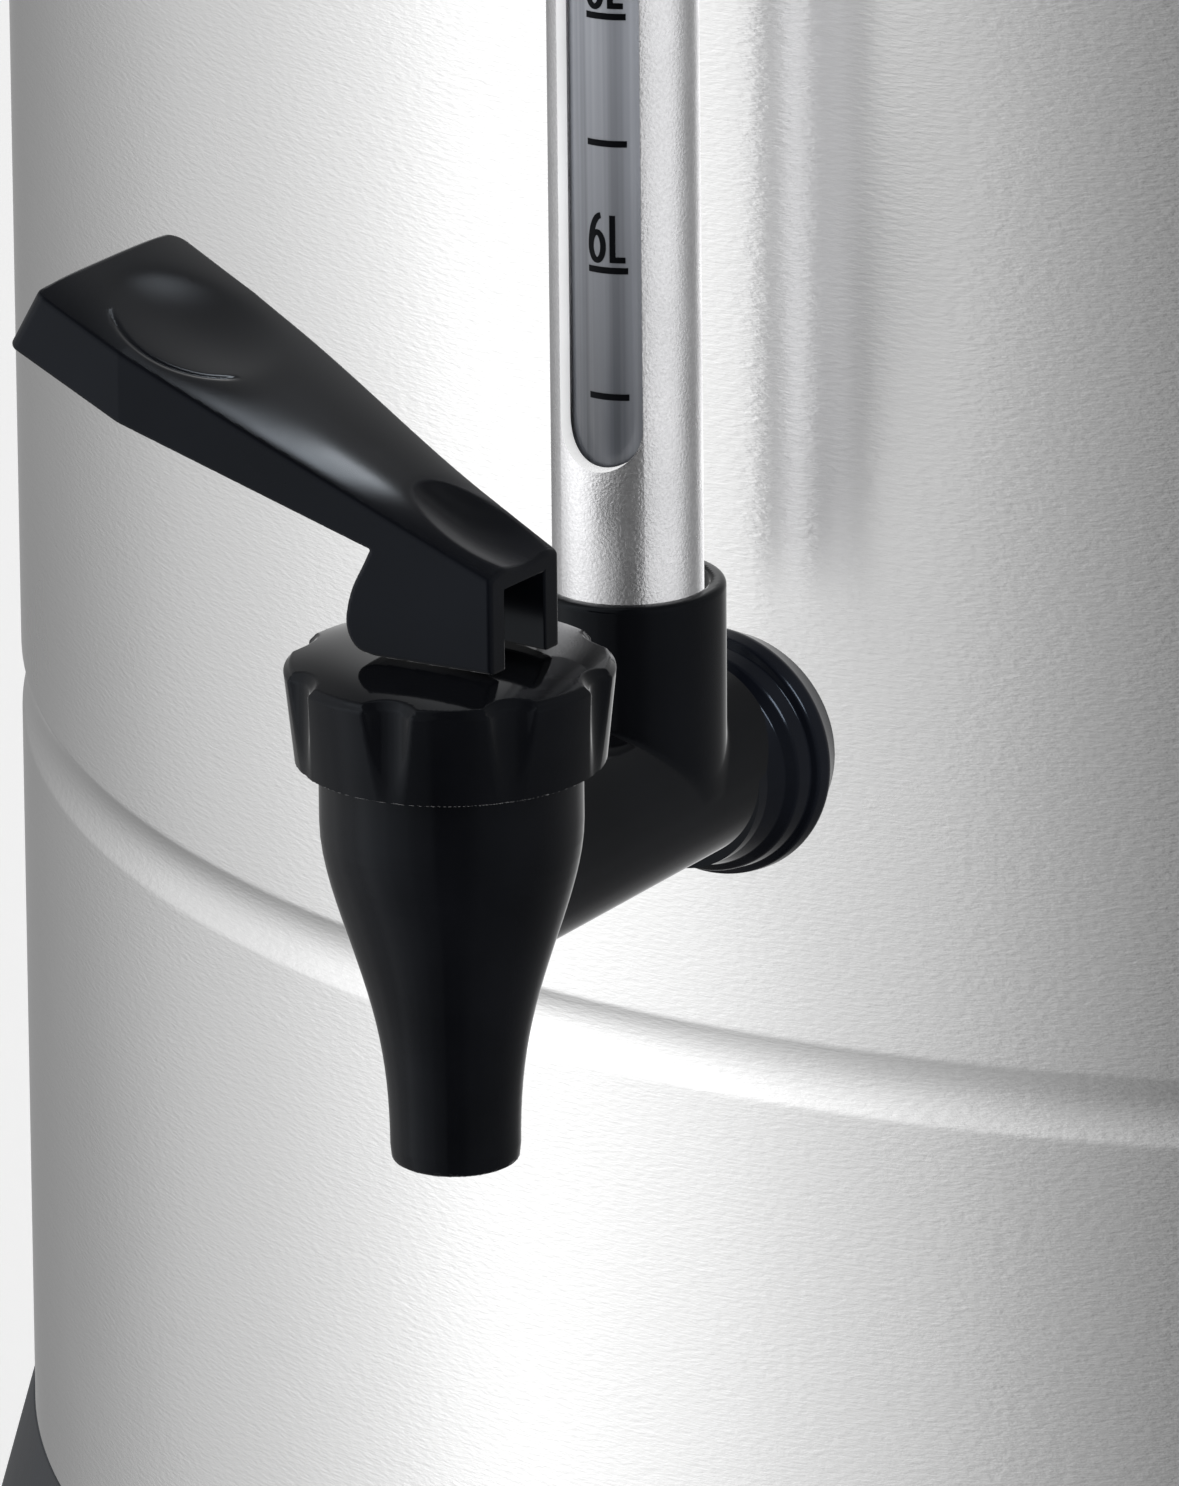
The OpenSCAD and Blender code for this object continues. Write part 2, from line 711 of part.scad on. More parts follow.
module tap_lever() {
    slope = tan(lever_rise);
    tip_z = block_up + (lever_l + block_l) * slope;
    heel = [for (a = [throat_a : -10 : -90]) [heel_x + heel_r * cos(a), heel_r * sin(a) - heel_drop]];
    side = concat(
        [[-block_l, block_up], [lever_l - lever_edge, tip_z], [lever_l + lever_edge, tip_z - lever_edge],
         [lever_l + lever_nose, tip_z - lever_t + lever_edge],
         [lever_l + lever_nose - lever_edge, tip_z - lever_t],
         [lever_l - belly_in, tip_z - belly_d], [throat_x, throat_z]],
        heel,
        [[-block_l, -heel_drop - heel_r]]);
    corner_x = lever_l + lever_nose + lever_edge - lever_corner;
    corner_y = lever_tip_w / 2 - lever_corner;
    round_tip = [for (a = [0 : 15 : 90]) [corner_x, corner_y] + lever_corner * [sin(a), cos(a)]];
    half = concat([[-block_l, block_w / 2], [lever_l - belly_in, lever_tip_w / 2]], round_tip);
    count = len(half);
    plan = concat(half, [for (i = [0 : count - 1]) [half[count - 1 - i][0], -half[count - 1 - i][1]]]);
    color("black") place() translate([0, -tap_y, pin_z]) rotate([0, 0, -90 - lever_turn]) difference() {
        intersection() {
            rotate([90, 0, 0]) linear_extrude(height = 2 * lever_tip_w, center = true) polygon(side);
            linear_extrude(height = 3 * lever_l, center = true) polygon(plan);
        }
        translate([-block_l - 1, -lever_slot_w / 2, slot_up_z - 4 * heel_r])
            cube([block_l + 1 + slot_in, lever_slot_w, 4 * heel_r]);
        rotate([90, 0, 0]) cylinder(r = pin_r, h = block_w - 2 * pin_inset, center = true);
        translate([lever_l - dish_in, 0, tip_z - dish_in * slope]) rotate([0, -lever_rise, 0])
            translate([0, 0, dish_r - dish_d]) sphere(r = dish_r);
    }
}

module lever_pin() {
    color("silver") place() translate([0, -tap_y, pin_z]) rotate([0, 0, -90 - lever_turn])
        rotate([90, 0, 0]) cylinder(r = pin_r, h = block_w - 2 * pin_inset, center = true);
}

module base_ring() {
    spigot = in_r - hole_gap;
    back_w = 32;
    back_h = (panel_z1 - panel_z0) / 2 - 1;
    deep = 20;
    boss_r = 5;
    boss_h = 14;
    inlet_cut_w = inlet_w + 2 * (inlet_t + hole_gap);
    inlet_cut_h = inlet_h + 2 * (inlet_wall + hole_gap);
    color("black") place() difference() {
        union() {
            rotate_extrude($fn = drum_fn) polygon([
                [spigot - base_t, edge_z + spigot_h], [spigot, edge_z + spigot_h], [spigot, edge_z],
                [drum_r + lip, edge_z], [base_r, foot_h], [base_r - base_t, foot_h],
                [skirt_r(cover_top) - base_t, cover_top], [screw_ring - boss_r - 1, cover_top],
                [screw_ring - boss_r - 1, cover_top + flange_t],
                [skirt_r(cover_top + flange_t) - base_t, cover_top + flange_t],
                [spigot - base_t, edge_z - 4]]);
            difference() {
                translate([-back_w, drum_r - deep, panel_z - back_h])
                    cube([2 * back_w, back_y - drum_r + deep, 2 * back_h]);
                translate([base_t - back_w, drum_r - deep - 1, panel_z - back_h + base_t])
                    cube([2 * (back_w - base_t), back_y - drum_r + deep + 1 - base_t, 2 * (back_h - base_t)]);
                rotate_extrude($fn = drum_fn) polygon([
                    [0, foot_h], [base_r - base_t, foot_h], [drum_r + lip - base_t, edge_z], [0, edge_z]]);
            }
            for (a = corners) rotate([0, 0, a]) translate([screw_ring, 0, cover_top])
                cylinder(r = boss_r, h = boss_h);
        }
        translate([panel_t - panel_w, -base_r - 1, panel_z0 + panel_t])
            cube([2 * (panel_w - panel_t), 2 * deep, panel_z1 - panel_z0 - 2 * panel_t]);
        translate([-inlet_cut_w / 2, drum_r - 2 * deep, panel_z - inlet_cut_h / 2])
            cube([inlet_cut_w, 4 * deep, inlet_cut_h]);
        for (s = [-1, 1]) translate([s * inlet_hole_x, drum_r - deep, panel_z]) rotate([-90, 0, 0])
            cylinder(r = inlet_screw_r, h = 2 * deep);
        for (a = corners) rotate([0, 0, a]) translate([screw_ring, 0, cover_top - 1])
            cylinder(r = screw_r, h = screw_l + 1);
    }
}

module bottom_cover() {
    vent_w = 4;
    vent_l = 60;
    vent_pitch = 10;
    color("gray") place() difference() {
        translate([0, 0, cover_top - cover_plate_t])
            cylinder(r = skirt_r(cover_top) - base_t - 1, h = cover_plate_t);
        for (a = corners) rotate([0, 0, a]) {
            translate([screw_ring, 0, 0]) cylinder(r = screw_r + hole_gap, h = 2 * cover_top);
            translate([foot_ring, 0, 0]) cylinder(r = peg_r + hole_gap, h = 2 * cover_top);
        }
        for (i = [-4 : 4]) translate([i * vent_pitch - vent_w / 2, -vent_l / 2, 0])
            cube([vent_w, vent_l, 2 * cover_top]);
        translate([reset_x, reset_y, 0]) cylinder(r = reset_r + move_gap, h = 2 * cover_top);
    }
}

module cover_screws() {
    z = cover_top - cover_plate_t;
    color("silver") place() for (a = corners) rotate([0, 0, a]) translate([screw_ring, 0, 0]) {
        translate([0, 0, z - 2]) cylinder(r = screw_r + 1.8, h = 2);
        translate([0, 0, z - 1]) cylinder(r = screw_r, h = screw_l);
    }
}

module feet() {
    z = cover_top - cover_plate_t;
    color("dimgray") place() for (a = corners) rotate([0, 0, a]) translate([foot_ring, 0, 0]) {
        cylinder(r1 = foot_r - 2, r2 = foot_r, h = z);
        translate([0, 0, z - 1]) cylinder(r = peg_r, h = cover_plate_t + 2.5);
        translate([0, 0, cover_top]) cylinder(r1 = peg_r + 1.2, r2 = peg_r - 0.5, h = 3);
    }
}

module control_panel() {
    depth = panel_y - drum_r + 20;
    cut_w = rocker_w + 2 * (frame_t + hole_gap);
    cut_h = rocker_h + 2 * (frame_t + hole_gap);
    lamp_hole_r = lamp_r - lamp_step + hole_gap;
    color("black") place() difference() {
        translate([-panel_w, -panel_y, panel_z0]) cube([2 * panel_w, depth, panel_z1 - panel_z0]);
        translate([-panel_w + panel_t, -panel_y + panel_t, panel_z0 + panel_t])
            cube([2 * (panel_w - panel_t), depth, panel_z1 - panel_z0 - 2 * panel_t]);
        rotate_extrude($fn = drum_fn) polygon([
            [0, foot_h], [base_r, foot_h], [drum_r + lip, edge_z], [0, edge_z]]);
        forward(panel_y - 2 * panel_t, panel_z, spindle_r + bush_out + hole_gap, 4 * panel_t);
        translate([switch_x - cut_w / 2, -panel_y - 1, panel_z - cut_h / 2])
            cube([cut_w, 4 * panel_t, cut_h]);
        for (s = [-1, 1])
            forward(panel_y - 2 * panel_t, panel_z + s * lamp_dz, lamp_hole_r, 4 * panel_t, lamp_x);
    }
}

module thermostat() {
    thermo_w = 30;
    thermo_h = 28;
    y = panel_y - panel_t;
    color("tan") place() difference() {
        union() {
            translate([-thermo_w / 2, -y, panel_z - thermo_h / 2]) cube([thermo_w, thermo_d, thermo_h]);
            forward(y - 1, panel_z, spindle_r + bush_out, panel_t + 1);
        }
        forward(y - spindle_in - 0.5, panel_z, spindle_r + run_gap, 2 * spindle_in);
    }
}

module thermostat_spindle() {
    color("silver") place() forward(panel_y - panel_t - spindle_in, panel_z,
        spindle_r, spindle_in + panel_t + knob_d - knob_skin);
}

module control_knob() {
    y = panel_y + 2 * move_gap;
    mark_w = 2;
    mark_up = 1;
    color("black") place() difference() {
        union() {
            forward(y, panel_z, knob_r, knob_flange);
            translate([0, -y - knob_flange, panel_z]) rotate([90, 0, 0])
                cylinder(r1 = knob_r - 2, r2 = knob_r - 3.5, h = knob_d - knob_flange - 2 * move_gap);
            translate([-mark_w / 2, -panel_y - knob_d - mark_up, panel_z + mark_w])
                cube([mark_w, 3 * mark_up, knob_r - 6]);
        }
        forward(y - 1, panel_z, spindle_r, knob_d - knob_skin - 2 * move_gap + 1);
    }
}

module switch_frame() {
    w = rocker_w + 2 * move_gap;
    h = rocker_h + 2 * move_gap + 1;
    rim = 4;
    color("dimgray") place() translate([switch_x, -panel_y, panel_z]) difference() {
        union() {
            translate([-w / 2 - rim, -frame_t, -h / 2 - rim]) cube([w + 2 * rim, frame_t, h + 2 * rim]);
            translate([-rocker_w / 2 - frame_t, -1, -rocker_h / 2 - frame_t])
                cube([rocker_w + 2 * frame_t, 17, rocker_h + 2 * frame_t]);
        }
        translate([-w / 2, -frame_t - 1, -h / 2]) cube([w, 15, h]);
        translate([0, rocker_in, 0]) rotate([0, 90, 0])
            cylinder(r = trunnion_r + run_gap, h = w + 2 * (trunnion_l + run_gap), center = true);
    }
}

module power_switch() {
    w = rocker_w;
    h = rocker_h / 2;
    color("darkgreen") place() translate([switch_x, rocker_in - panel_y, panel_z]) rotate([rocker_tilt, 0, 0])
        rotate([0, 90, 0]) {
            linear_extrude(height = w, center = true)
                polygon([[1 - h, -7], [0, -5.4], [h - 1, -7], [h, -1], [3, 5], [-3, 5], [-h, -1]]);
            cylinder(r = trunnion_r, h = w + 2 * (move_gap + trunnion_l), center = true);
        }
}

module lamp(z) {
    lamp_d = 12;
    forward(panel_y, z, lamp_r, 1, lamp_x);
    translate([lamp_x, -panel_y - 1, z]) rotate([90, 0, 0]) cylinder(r1 = lamp_r, r2 = lamp_r - 1.4, h = 1.6);
    forward(panel_y - lamp_d, z, lamp_r - lamp_step, lamp_d + 0.5, lamp_x);
}

module lamp_power() {
    color("red") place() lamp(panel_z + lamp_dz);
}

module lamp_keep_warm() {
    color("orange") place() lamp(panel_z - lamp_dz);
}

module power_inlet() {
    w = inlet_w + 2 * inlet_t;
    h = inlet_h + 2 * inlet_wall;
    color("black") place() translate([0, back_y, panel_z]) difference() {
        union() {
            translate([-w / 2 - inlet_flange, 0, -h / 2 - plate_t])
                cube([w + 2 * inlet_flange, plate_t, h + 2 * plate_t]);
            translate([-w / 2, -inlet_d - 4, -h / 2]) cube([w, inlet_d + 4.5, h]);
        }
        translate([-inlet_w / 2, -inlet_d, -inlet_h / 2]) cube([inlet_w, 2 * inlet_d, inlet_h]);
        for (s = [-1, 1]) translate([s * inlet_hole_x, -1, 0]) rotate([-90, 0, 0])
            cylinder(r = inlet_screw_r + hole_gap, h = 2 + plate_t);
    }
}

module inlet_pins() {
    color("gold") place() translate([0, back_y, panel_z])
        for (p = [[-7, -2], [0, 2], [7, -2]]) translate([p[0] - 1, -inlet_d, p[1] - 2]) cube([2, 10, 4]);
}

module inlet_screws() {
    color("silver") place() for (s = [-1, 1]) translate([s * inlet_hole_x, back_y + plate_t, panel_z]) {
        rotate([90, 0, 0]) cylinder(r = inlet_screw_r, h = 8 + plate_t);
        rotate([-90, 0, 0]) cylinder(r1 = inlet_screw_r + 1.4, r2 = inlet_screw_r + 0.6, h = 1.4);
    }
}

module heating_element() {
    color("gray") place() {
        translate([0, 0, loop_z]) rotate([0, 0, 90 + leg_a]) rotate_extrude(angle = 360 - 2 * leg_a)
            translate([loop_r, 0]) circle(r = rod_r);
        for (s = [-1, 1]) translate([s * leg_x, leg_y, 0]) {
            translate([0, 0, loop_z]) sphere(r = knuckle * rod_r);
            translate([0, 0, floor_z - leg_drop]) cylinder(r = rod_r, h = loop_z - floor_z + leg_drop);
            translate([0, 0, floor_z - leg_drop - terminal_drop])
                cylinder(r = rod_r / 2, h = terminal_drop + 1);
        }
    }
}

module element_bushings() {
    color("goldenrod") place() for (s = [-1, 1]) translate([s * leg_x, leg_y, 0]) difference() {
        union() {
            translate([0, 0, floor_z]) cylinder(r = rod_r + bush_t + bush_flange, h = bush_flange);
            translate([0, 0, floor_z - bush_l]) cylinder(r = rod_r + bush_t, h = bush_l + 1);
        }
        translate([0, 0, floor_z - leg_drop]) cylinder(r = rod_r, h = 2 * leg_drop);
    }
}

module element_nuts() {
    color("goldenrod") place() for (s = [-1, 1]) translate([s * leg_x, leg_y, floor_z - floor_t - bush_nut_t])
        hex_nut(2 * (rod_r + bush_t + bush_flange), rod_r + bush_t, bush_nut_t);
}

module sensor_bulbs() {
    color("chocolate") place() for (x = [-bulb_x, bulb_x])
        translate([x, -bulb_l / 2, floor_z - floor_t - bulb_r]) rotate([-90, 0, 0])
        cylinder(r = bulb_r, h = bulb_l);
}

module sensor_clip() {
    h = 2 * bulb_r + clip_t;
    color("silver") place() translate([0, 0, floor_z - floor_t - h]) difference() {
        translate([-clip_w / 2, -clip_d / 2, 0]) cube([clip_w, clip_d, h]);
        for (x = [-bulb_x, bulb_x]) translate([x, -clip_d, clip_t + bulb_r]) {
            rotate([-90, 0, 0]) cylinder(r = bulb_r, h = 2 * clip_d);
            translate([-bulb_r, 0, 0]) cube([2 * bulb_r, 2 * clip_d, 2 * bulb_r]);
        }
    }
}

module thermal_cutout() {
    size = [26, 22, 24];
    color("saddlebrown") place() translate([reset_x, reset_y, cover_top]) difference() {
        translate([-size[0] / 2, -size[1] / 2, 0]) cube(size);
        translate([0, 0, -1]) cylinder(r = reset_r + move_gap, h = 1 + reset_l + reset_out);
    }
}

module reset_button() {
    color("red") place() translate([reset_x, reset_y, cover_top - cover_plate_t - reset_out])
        cylinder(r = reset_r, h = reset_l);
}

module terminal_block() {
    w = 3 * block_pitch + 4;
    h = wire_up + 8;
    color("ivory") place() translate([0, block_y, cover_top]) difference() {
        translate([-w / 2, -block_d / 2, 0]) cube([w, block_d, h]);
        for (i = [-1 : 1]) translate([i * block_pitch, 0, wire_up]) {
            cylinder(r = wire_r + 1.6, h = h);
            rotate([90, 0, 0]) cylinder(r = wire_r + 0.8, h = 2 * block_d, center = true);
        }
    }
}

module wiring() {
    z = cover_top + wire_up;
    in_y = block_y + block_d / 4;
    out_y = block_y - block_d / 4;
    rear_y = back_y - inlet_d - 4;
    front_y = panel_t + thermo_d - panel_y;
    leg_z = floor_z - leg_drop - terminal_drop;
    color("firebrick") place() {
        for (s = [-1, 1]) {
            x = s * block_pitch;
            leg = [s * leg_x, leg_y];
            wire([[x, in_y, z], [x, 105, z], [s * 7, 120, panel_z], [s * 7, rear_y, panel_z]], wire_r);
            wire([[x, out_y, z], [x, 40, z], [leg[0], leg[1], 100], [leg[0], leg[1], leg_z]], wire_r);
        }
        wire([[0, in_y, z], [0, 100, z], [0, 120, panel_z + 4], [0, rear_y, panel_z + 4]], wire_r);
        wire([[0, out_y, z], [0, -60, z], [0, -120, panel_z], [0, front_y, panel_z]], wire_r);
    }
}

body_shell();
tank_floor();
lid_shell();
lid_ferrule();
lid_knob();
lid_screw();
handle_right();
handle_left();
handle_screws();
gauge_cover();
gauge_tube();
gauge_seal();
gauge_cap();
gauge_grommet();
gauge_screw();
tap_body();
tap_collar();
tap_gasket();
tap_nut();
tap_bonnet();
tap_guide();
tap_plunger();
tap_seat();
tap_spring();
tap_lever();
lever_pin();
base_ring();
bottom_cover();
cover_screws();
feet();
control_panel();
thermostat();
thermostat_spindle();
control_knob();
switch_frame();
power_switch();
lamp_power();
lamp_keep_warm();
power_inlet();
inlet_pins();
inlet_screws();
heating_element();
element_bushings();
element_nuts();
sensor_bulbs();
sensor_clip();
thermal_cutout();
reset_button();
terminal_block();
wiring();
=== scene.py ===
import math

import bpy
import numpy as np
from mathutils import Matrix, Vector


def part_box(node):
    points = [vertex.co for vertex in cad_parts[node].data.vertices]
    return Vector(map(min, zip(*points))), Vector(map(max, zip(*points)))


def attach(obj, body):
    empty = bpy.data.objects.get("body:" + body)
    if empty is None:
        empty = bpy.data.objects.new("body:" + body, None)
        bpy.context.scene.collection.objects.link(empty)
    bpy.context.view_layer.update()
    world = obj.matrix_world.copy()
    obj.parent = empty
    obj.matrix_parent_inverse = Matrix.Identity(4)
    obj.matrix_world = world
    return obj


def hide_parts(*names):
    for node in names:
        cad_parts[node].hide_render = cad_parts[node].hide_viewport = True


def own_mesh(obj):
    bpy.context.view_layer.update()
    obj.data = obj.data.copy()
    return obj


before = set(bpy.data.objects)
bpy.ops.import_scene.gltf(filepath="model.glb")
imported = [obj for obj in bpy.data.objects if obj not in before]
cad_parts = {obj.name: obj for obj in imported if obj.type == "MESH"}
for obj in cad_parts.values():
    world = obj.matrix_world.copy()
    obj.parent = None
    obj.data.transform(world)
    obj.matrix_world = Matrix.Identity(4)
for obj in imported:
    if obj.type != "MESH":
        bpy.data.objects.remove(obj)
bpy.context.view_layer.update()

# Sizes in millimetres, as in the part except for a shallower groove
MM = 0.001
AXIS_Y = 28.886
DRUM_R = 154.0
WALL = 0.8
EDGE_Z = 72.0
GROOVE_Z = 156.5
GROOVE_W = 7.2
GROOVE_D = 1.0
FLOOR_Z = 169.9
RIM_Z = 469.9
BEAD_R = 2.4
CROWN_Z = 496.2
CROWN_RISE = 24.0
SEAT_R = 22.0
PLUG_R = 151.7
PLUG_D = 11.0
BRIM_Z = 470.2
BRIM_OUT = 6.0
BRIM_LIP = 3.0
FERRULE_R = 16.0
FERRULE_H = 4.0
HANDLE_Z = 373.9
HANDLE_A = 20.0
HANDLE_R = 188.0
POST_R = 7.0
GRIP_R = 8.0
GAUGE_Y = AXIS_Y - 176.0
COVER_R = 7.8
COVER_T = 1.8
COVER_Z = (208.4, 452.9)
SLOT_Z = (230.2, 427.9)
SLOT_A = 36.0
SLOT_TURN = 6.0
TUBE_R = 5.6
TUBE_BORE = 4.3
TUBE_Z = (203.9, 451.9)
GAUGE_TOP = 455.9
STEM_Z = 193.6
STEM_R = (10.3, 9.4)
COLLAR_DROP = 1.2
TAP_Y = AXIS_Y - 212.6
SOCKET_R = 10.1
SOCKET_H = 22.8
VALVE_R = 13.5
VALVE_H = 14.5
TIP_R = 6.7
TIP_D = 28.8
BONNET_R = 17.0
DECK_Z = 218.4
DOME = 1.5
PIN_Z = 225.6
LEVER_TURN = 95.0
BASE_R = 171.83
FOOT_H = 8.0
PANEL_Y = AXIS_Y - 174.33
PANEL_Z = 40.0
SWITCH_X = 34.0
ROCKER_IN = 4.0
ROCKER_TILT = 9.0
LITRE = 13.56
INK_D = 0.05


# Meshes

def finish_piece(name, mesh, material, body, nodes, mirrored=False):
    """Links a mesh as a piece that rides on a body and stands for CAD nodes."""
    piece = bpy.data.objects.new(name, mesh)
    bpy.context.scene.collection.objects.link(piece)
    piece.visible_glossy = mirrored
    mesh.materials.append(material)
    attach(piece, body)
    if nodes:
        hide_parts(*nodes)
    return piece


def make_mesh(name, verts, faces, place=Matrix.Identity(4), sharp=35, uvs=None, normals=None):
    """A mesh in metres from points in millimetres, smooth except at sharp edges."""
    mesh = bpy.data.meshes.new(name)
    moved = [place @ Vector(v) * MM for v in verts]
    corners = [(moved[f[0]], moved[f[k]], moved[f[k + 1]]) for f in faces for k in range(1, len(f) - 1)]
    if sum(a.dot(b.cross(c)) for a, b, c in corners) < 0:
        faces = [list(reversed(f)) for f in faces]
        uvs = [list(reversed(f)) for f in uvs] if uvs else None
    mesh.from_pydata(moved, [], faces)
    mesh.polygons.foreach_set("use_smooth", [True] * len(mesh.polygons))
    if uvs:
        layer = mesh.uv_layers.new(name="UVMap")
        layer.data.foreach_set("uv", [c for face in uvs for uv in face for c in uv])
    if normals is None:
        mesh.set_sharp_from_angle(angle=math.radians(sharp))
    else:
        turn = np.array(place.to_3x3())
        mesh.normals_split_custom_set_from_vertices(normals @ turn.T)
    mesh.validate()
    return mesh


def arc(cx, cy, r, a0, a1, steps):
    """Points of an arc, angles in degrees."""
    angles = [math.radians(a0 + (a1 - a0) * i / steps) for i in range(steps + 1)]
    return [(cx + r * math.cos(a), cy + r * math.sin(a)) for a in angles]


def rounded(corners, steps=5):
    """A closed outline from corners (x, y, radius), each rounded by its radius."""
    out = []
    count = len(corners)
    for i, (x, y, r) in enumerate(corners):
        p = Vector((x, y))
        a = Vector(corners[i - 1][:2]) - p
        b = Vector(corners[(i + 1) % count][:2]) - p
        if r <= 0 or a.length < 1e-6 or b.length < 1e-6:
            out.append((x, y))
            continue
        half = a.angle(b) / 2
        cut = min(r / math.tan(half), 0.49 * a.length, 0.49 * b.length)
        start, end = p + a.normalized() * cut, p + b.normalized() * cut
        for k in range(steps + 1):
            t = k / steps
            q = start * (1 - t) ** 2 + p * 2 * t * (1 - t) + end * t ** 2
            out.append((q.x, q.y))
    return out


def smooth_line(points, steps):
    """A smooth line through points."""
    ends = [points[0], *points, points[-1]]
    out = []
    for i in range(1, len(ends) - 2):
        p0, p1, p2, p3 = (np.array(ends[i + k], float) for k in (-1, 0, 1, 2))
        for k in range(steps):
            t = k / steps
            q = 2 * p1 + (p2 - p0) * t + (2 * p0 - 5 * p1 + 4 * p2 - p3) * t ** 2
            q = q + (3 * p1 - p0 - 3 * p2 + p3) * t ** 3
            out.append(tuple(q / 2))
    return out + [tuple(points[-1])]


def turned(name, outline, place, count=128, sharp=35):
    """A closed outline (radius, height) turned about the local Z axis."""
    verts, rings = [], []
    for r, z in outline:
        if r < 1e-6:
            rings.append([len(verts)] * (count + 1))
            verts.append((0, 0, z))
            continue
        first = len(verts)
        for i in range(count):
            a = math.pi / 2 + 2 * math.pi * i / count
            verts.append((r * math.cos(a), r * math.sin(a), z))
        rings.append([*range(first, first + count), first])
    far = max(r for r, z in outline)
    along = [0.0]
    for (r0, z0), (r1, z1) in zip(outline, [*outline[1:], outline[0]]):
        along.append(along[-1] + math.hypot(r1 - r0, z1 - z0))
    faces, uvs = [], []
    steps = len(outline)
    for j in range(steps):
        k = (j + 1) % steps
        if rings[j][0] == rings[j][1] and rings[k][0] == rings[k][1]:
            continue
        for i in range(count):
            ids = [rings[j][i], rings[j][i + 1], rings[k][i + 1], rings[k][i]]
            u0, u1 = (2 * math.pi * far * MM * (i + d) / count for d in (0, 1))
            v0, v1 = along[j] * MM, along[j + 1] * MM
            spots = [(u0, v0), (u1, v0), (u1, v1), (u0, v1)]
            keep = [n for n in range(4) if ids[n] != ids[n - 1]]
            faces.append([ids[n] for n in keep])
            uvs.append([spots[n] for n in keep])
    return make_mesh(name, verts, faces, place, sharp, uvs)


def swept(path, radii, sides=32):
    """Points and faces of a closed round tube along a path."""
    path = [Vector(p) for p in path]
    verts, faces = [], []
    side = Vector((0, 0, 1))
    for i, p in enumerate(path):
        ahead = path[min(i + 1, len(path) - 1)] - path[max(i - 1, 0)]
        ahead.normalize()
        side = (side - ahead * side.dot(ahead)).normalized()
        other = ahead.cross(side)
        for k in range(sides):
            a = 2 * math.pi * k / sides
            verts.append(p + (side * math.cos(a) + other * math.sin(a)) * radii[i])
    for i in range(len(path) - 1):
        for k in range(sides):
            n = (k + 1) % sides
            faces.append([i * sides + k, i * sides + n, (i + 1) * sides + n, (i + 1) * sides + k])
    last = (len(path) - 1) * sides
    faces.append([*range(sides - 1, -1, -1)])
    faces.append([*range(last, last + sides)])
    return verts, faces


def joined(parts):
    """One list of points and one of faces from several."""
    verts, faces = [], []
    for v, f in parts:
        base = len(verts)
        verts += [Vector(p) for p in v]
        faces += [[i + base for i in face] for face in f]
    return verts, faces


# Solids from distance functions, negative inside

def round_and(a, b, r):
    """The common part of two solids, its edge rounded by r."""
    u, v = a + r, b + r
    return np.minimum(np.maximum(u, v), 0) + np.hypot(np.maximum(u, 0), np.maximum(v, 0)) - r


def round_or(a, b, r):
    """Two solids as one, with a fillet of r between them."""
    return -round_and(-a, -b, r)


def outline_distance(px, py, corners):
    """Signed distance to a closed outline."""
    best = np.full(px.shape, 1e9)
    inside = np.zeros(px.shape, bool)
    for (x0, y0), (x1, y1) in zip(corners, [*corners[1:], corners[0]]):
        ex, ey = x1 - x0, y1 - y0
        wx, wy = px - x0, py - y0
        t = np.clip((wx * ex + wy * ey) / (ex * ex + ey * ey + 1e-12), 0, 1)
        best = np.minimum(best, (wx - t * ex) ** 2 + (wy - t * ey) ** 2)
        if y0 != y1:
            inside ^= ((y0 > py) != (y1 > py)) & (px < ex * wy / ey + x0)
    return np.where(inside, -1, 1) * np.sqrt(best)


def box_distance(x, y, z, half, r):
    """Signed distance to a box round the origin, with rounded edges."""
    qx, qy, qz = (np.abs(v) - h + r for v, h in zip((x, y, z), half))
    out = np.sqrt(np.maximum(qx, 0) ** 2 + np.maximum(qy, 0) ** 2 + np.maximum(qz, 0) ** 2)
    return out + np.minimum(np.maximum(qx, np.maximum(qy, qz)), 0) - r


def slope_of(distance, p):
    """Gradient of a distance function at points."""
    eps = 0.02
    parts = []
    for k in range(3):
        step = np.zeros(3)
        step[k] = eps
        parts.append(distance(*(p + step).T) - distance(*(p - step).T))
    return np.stack(parts, 1) / (2 * eps)


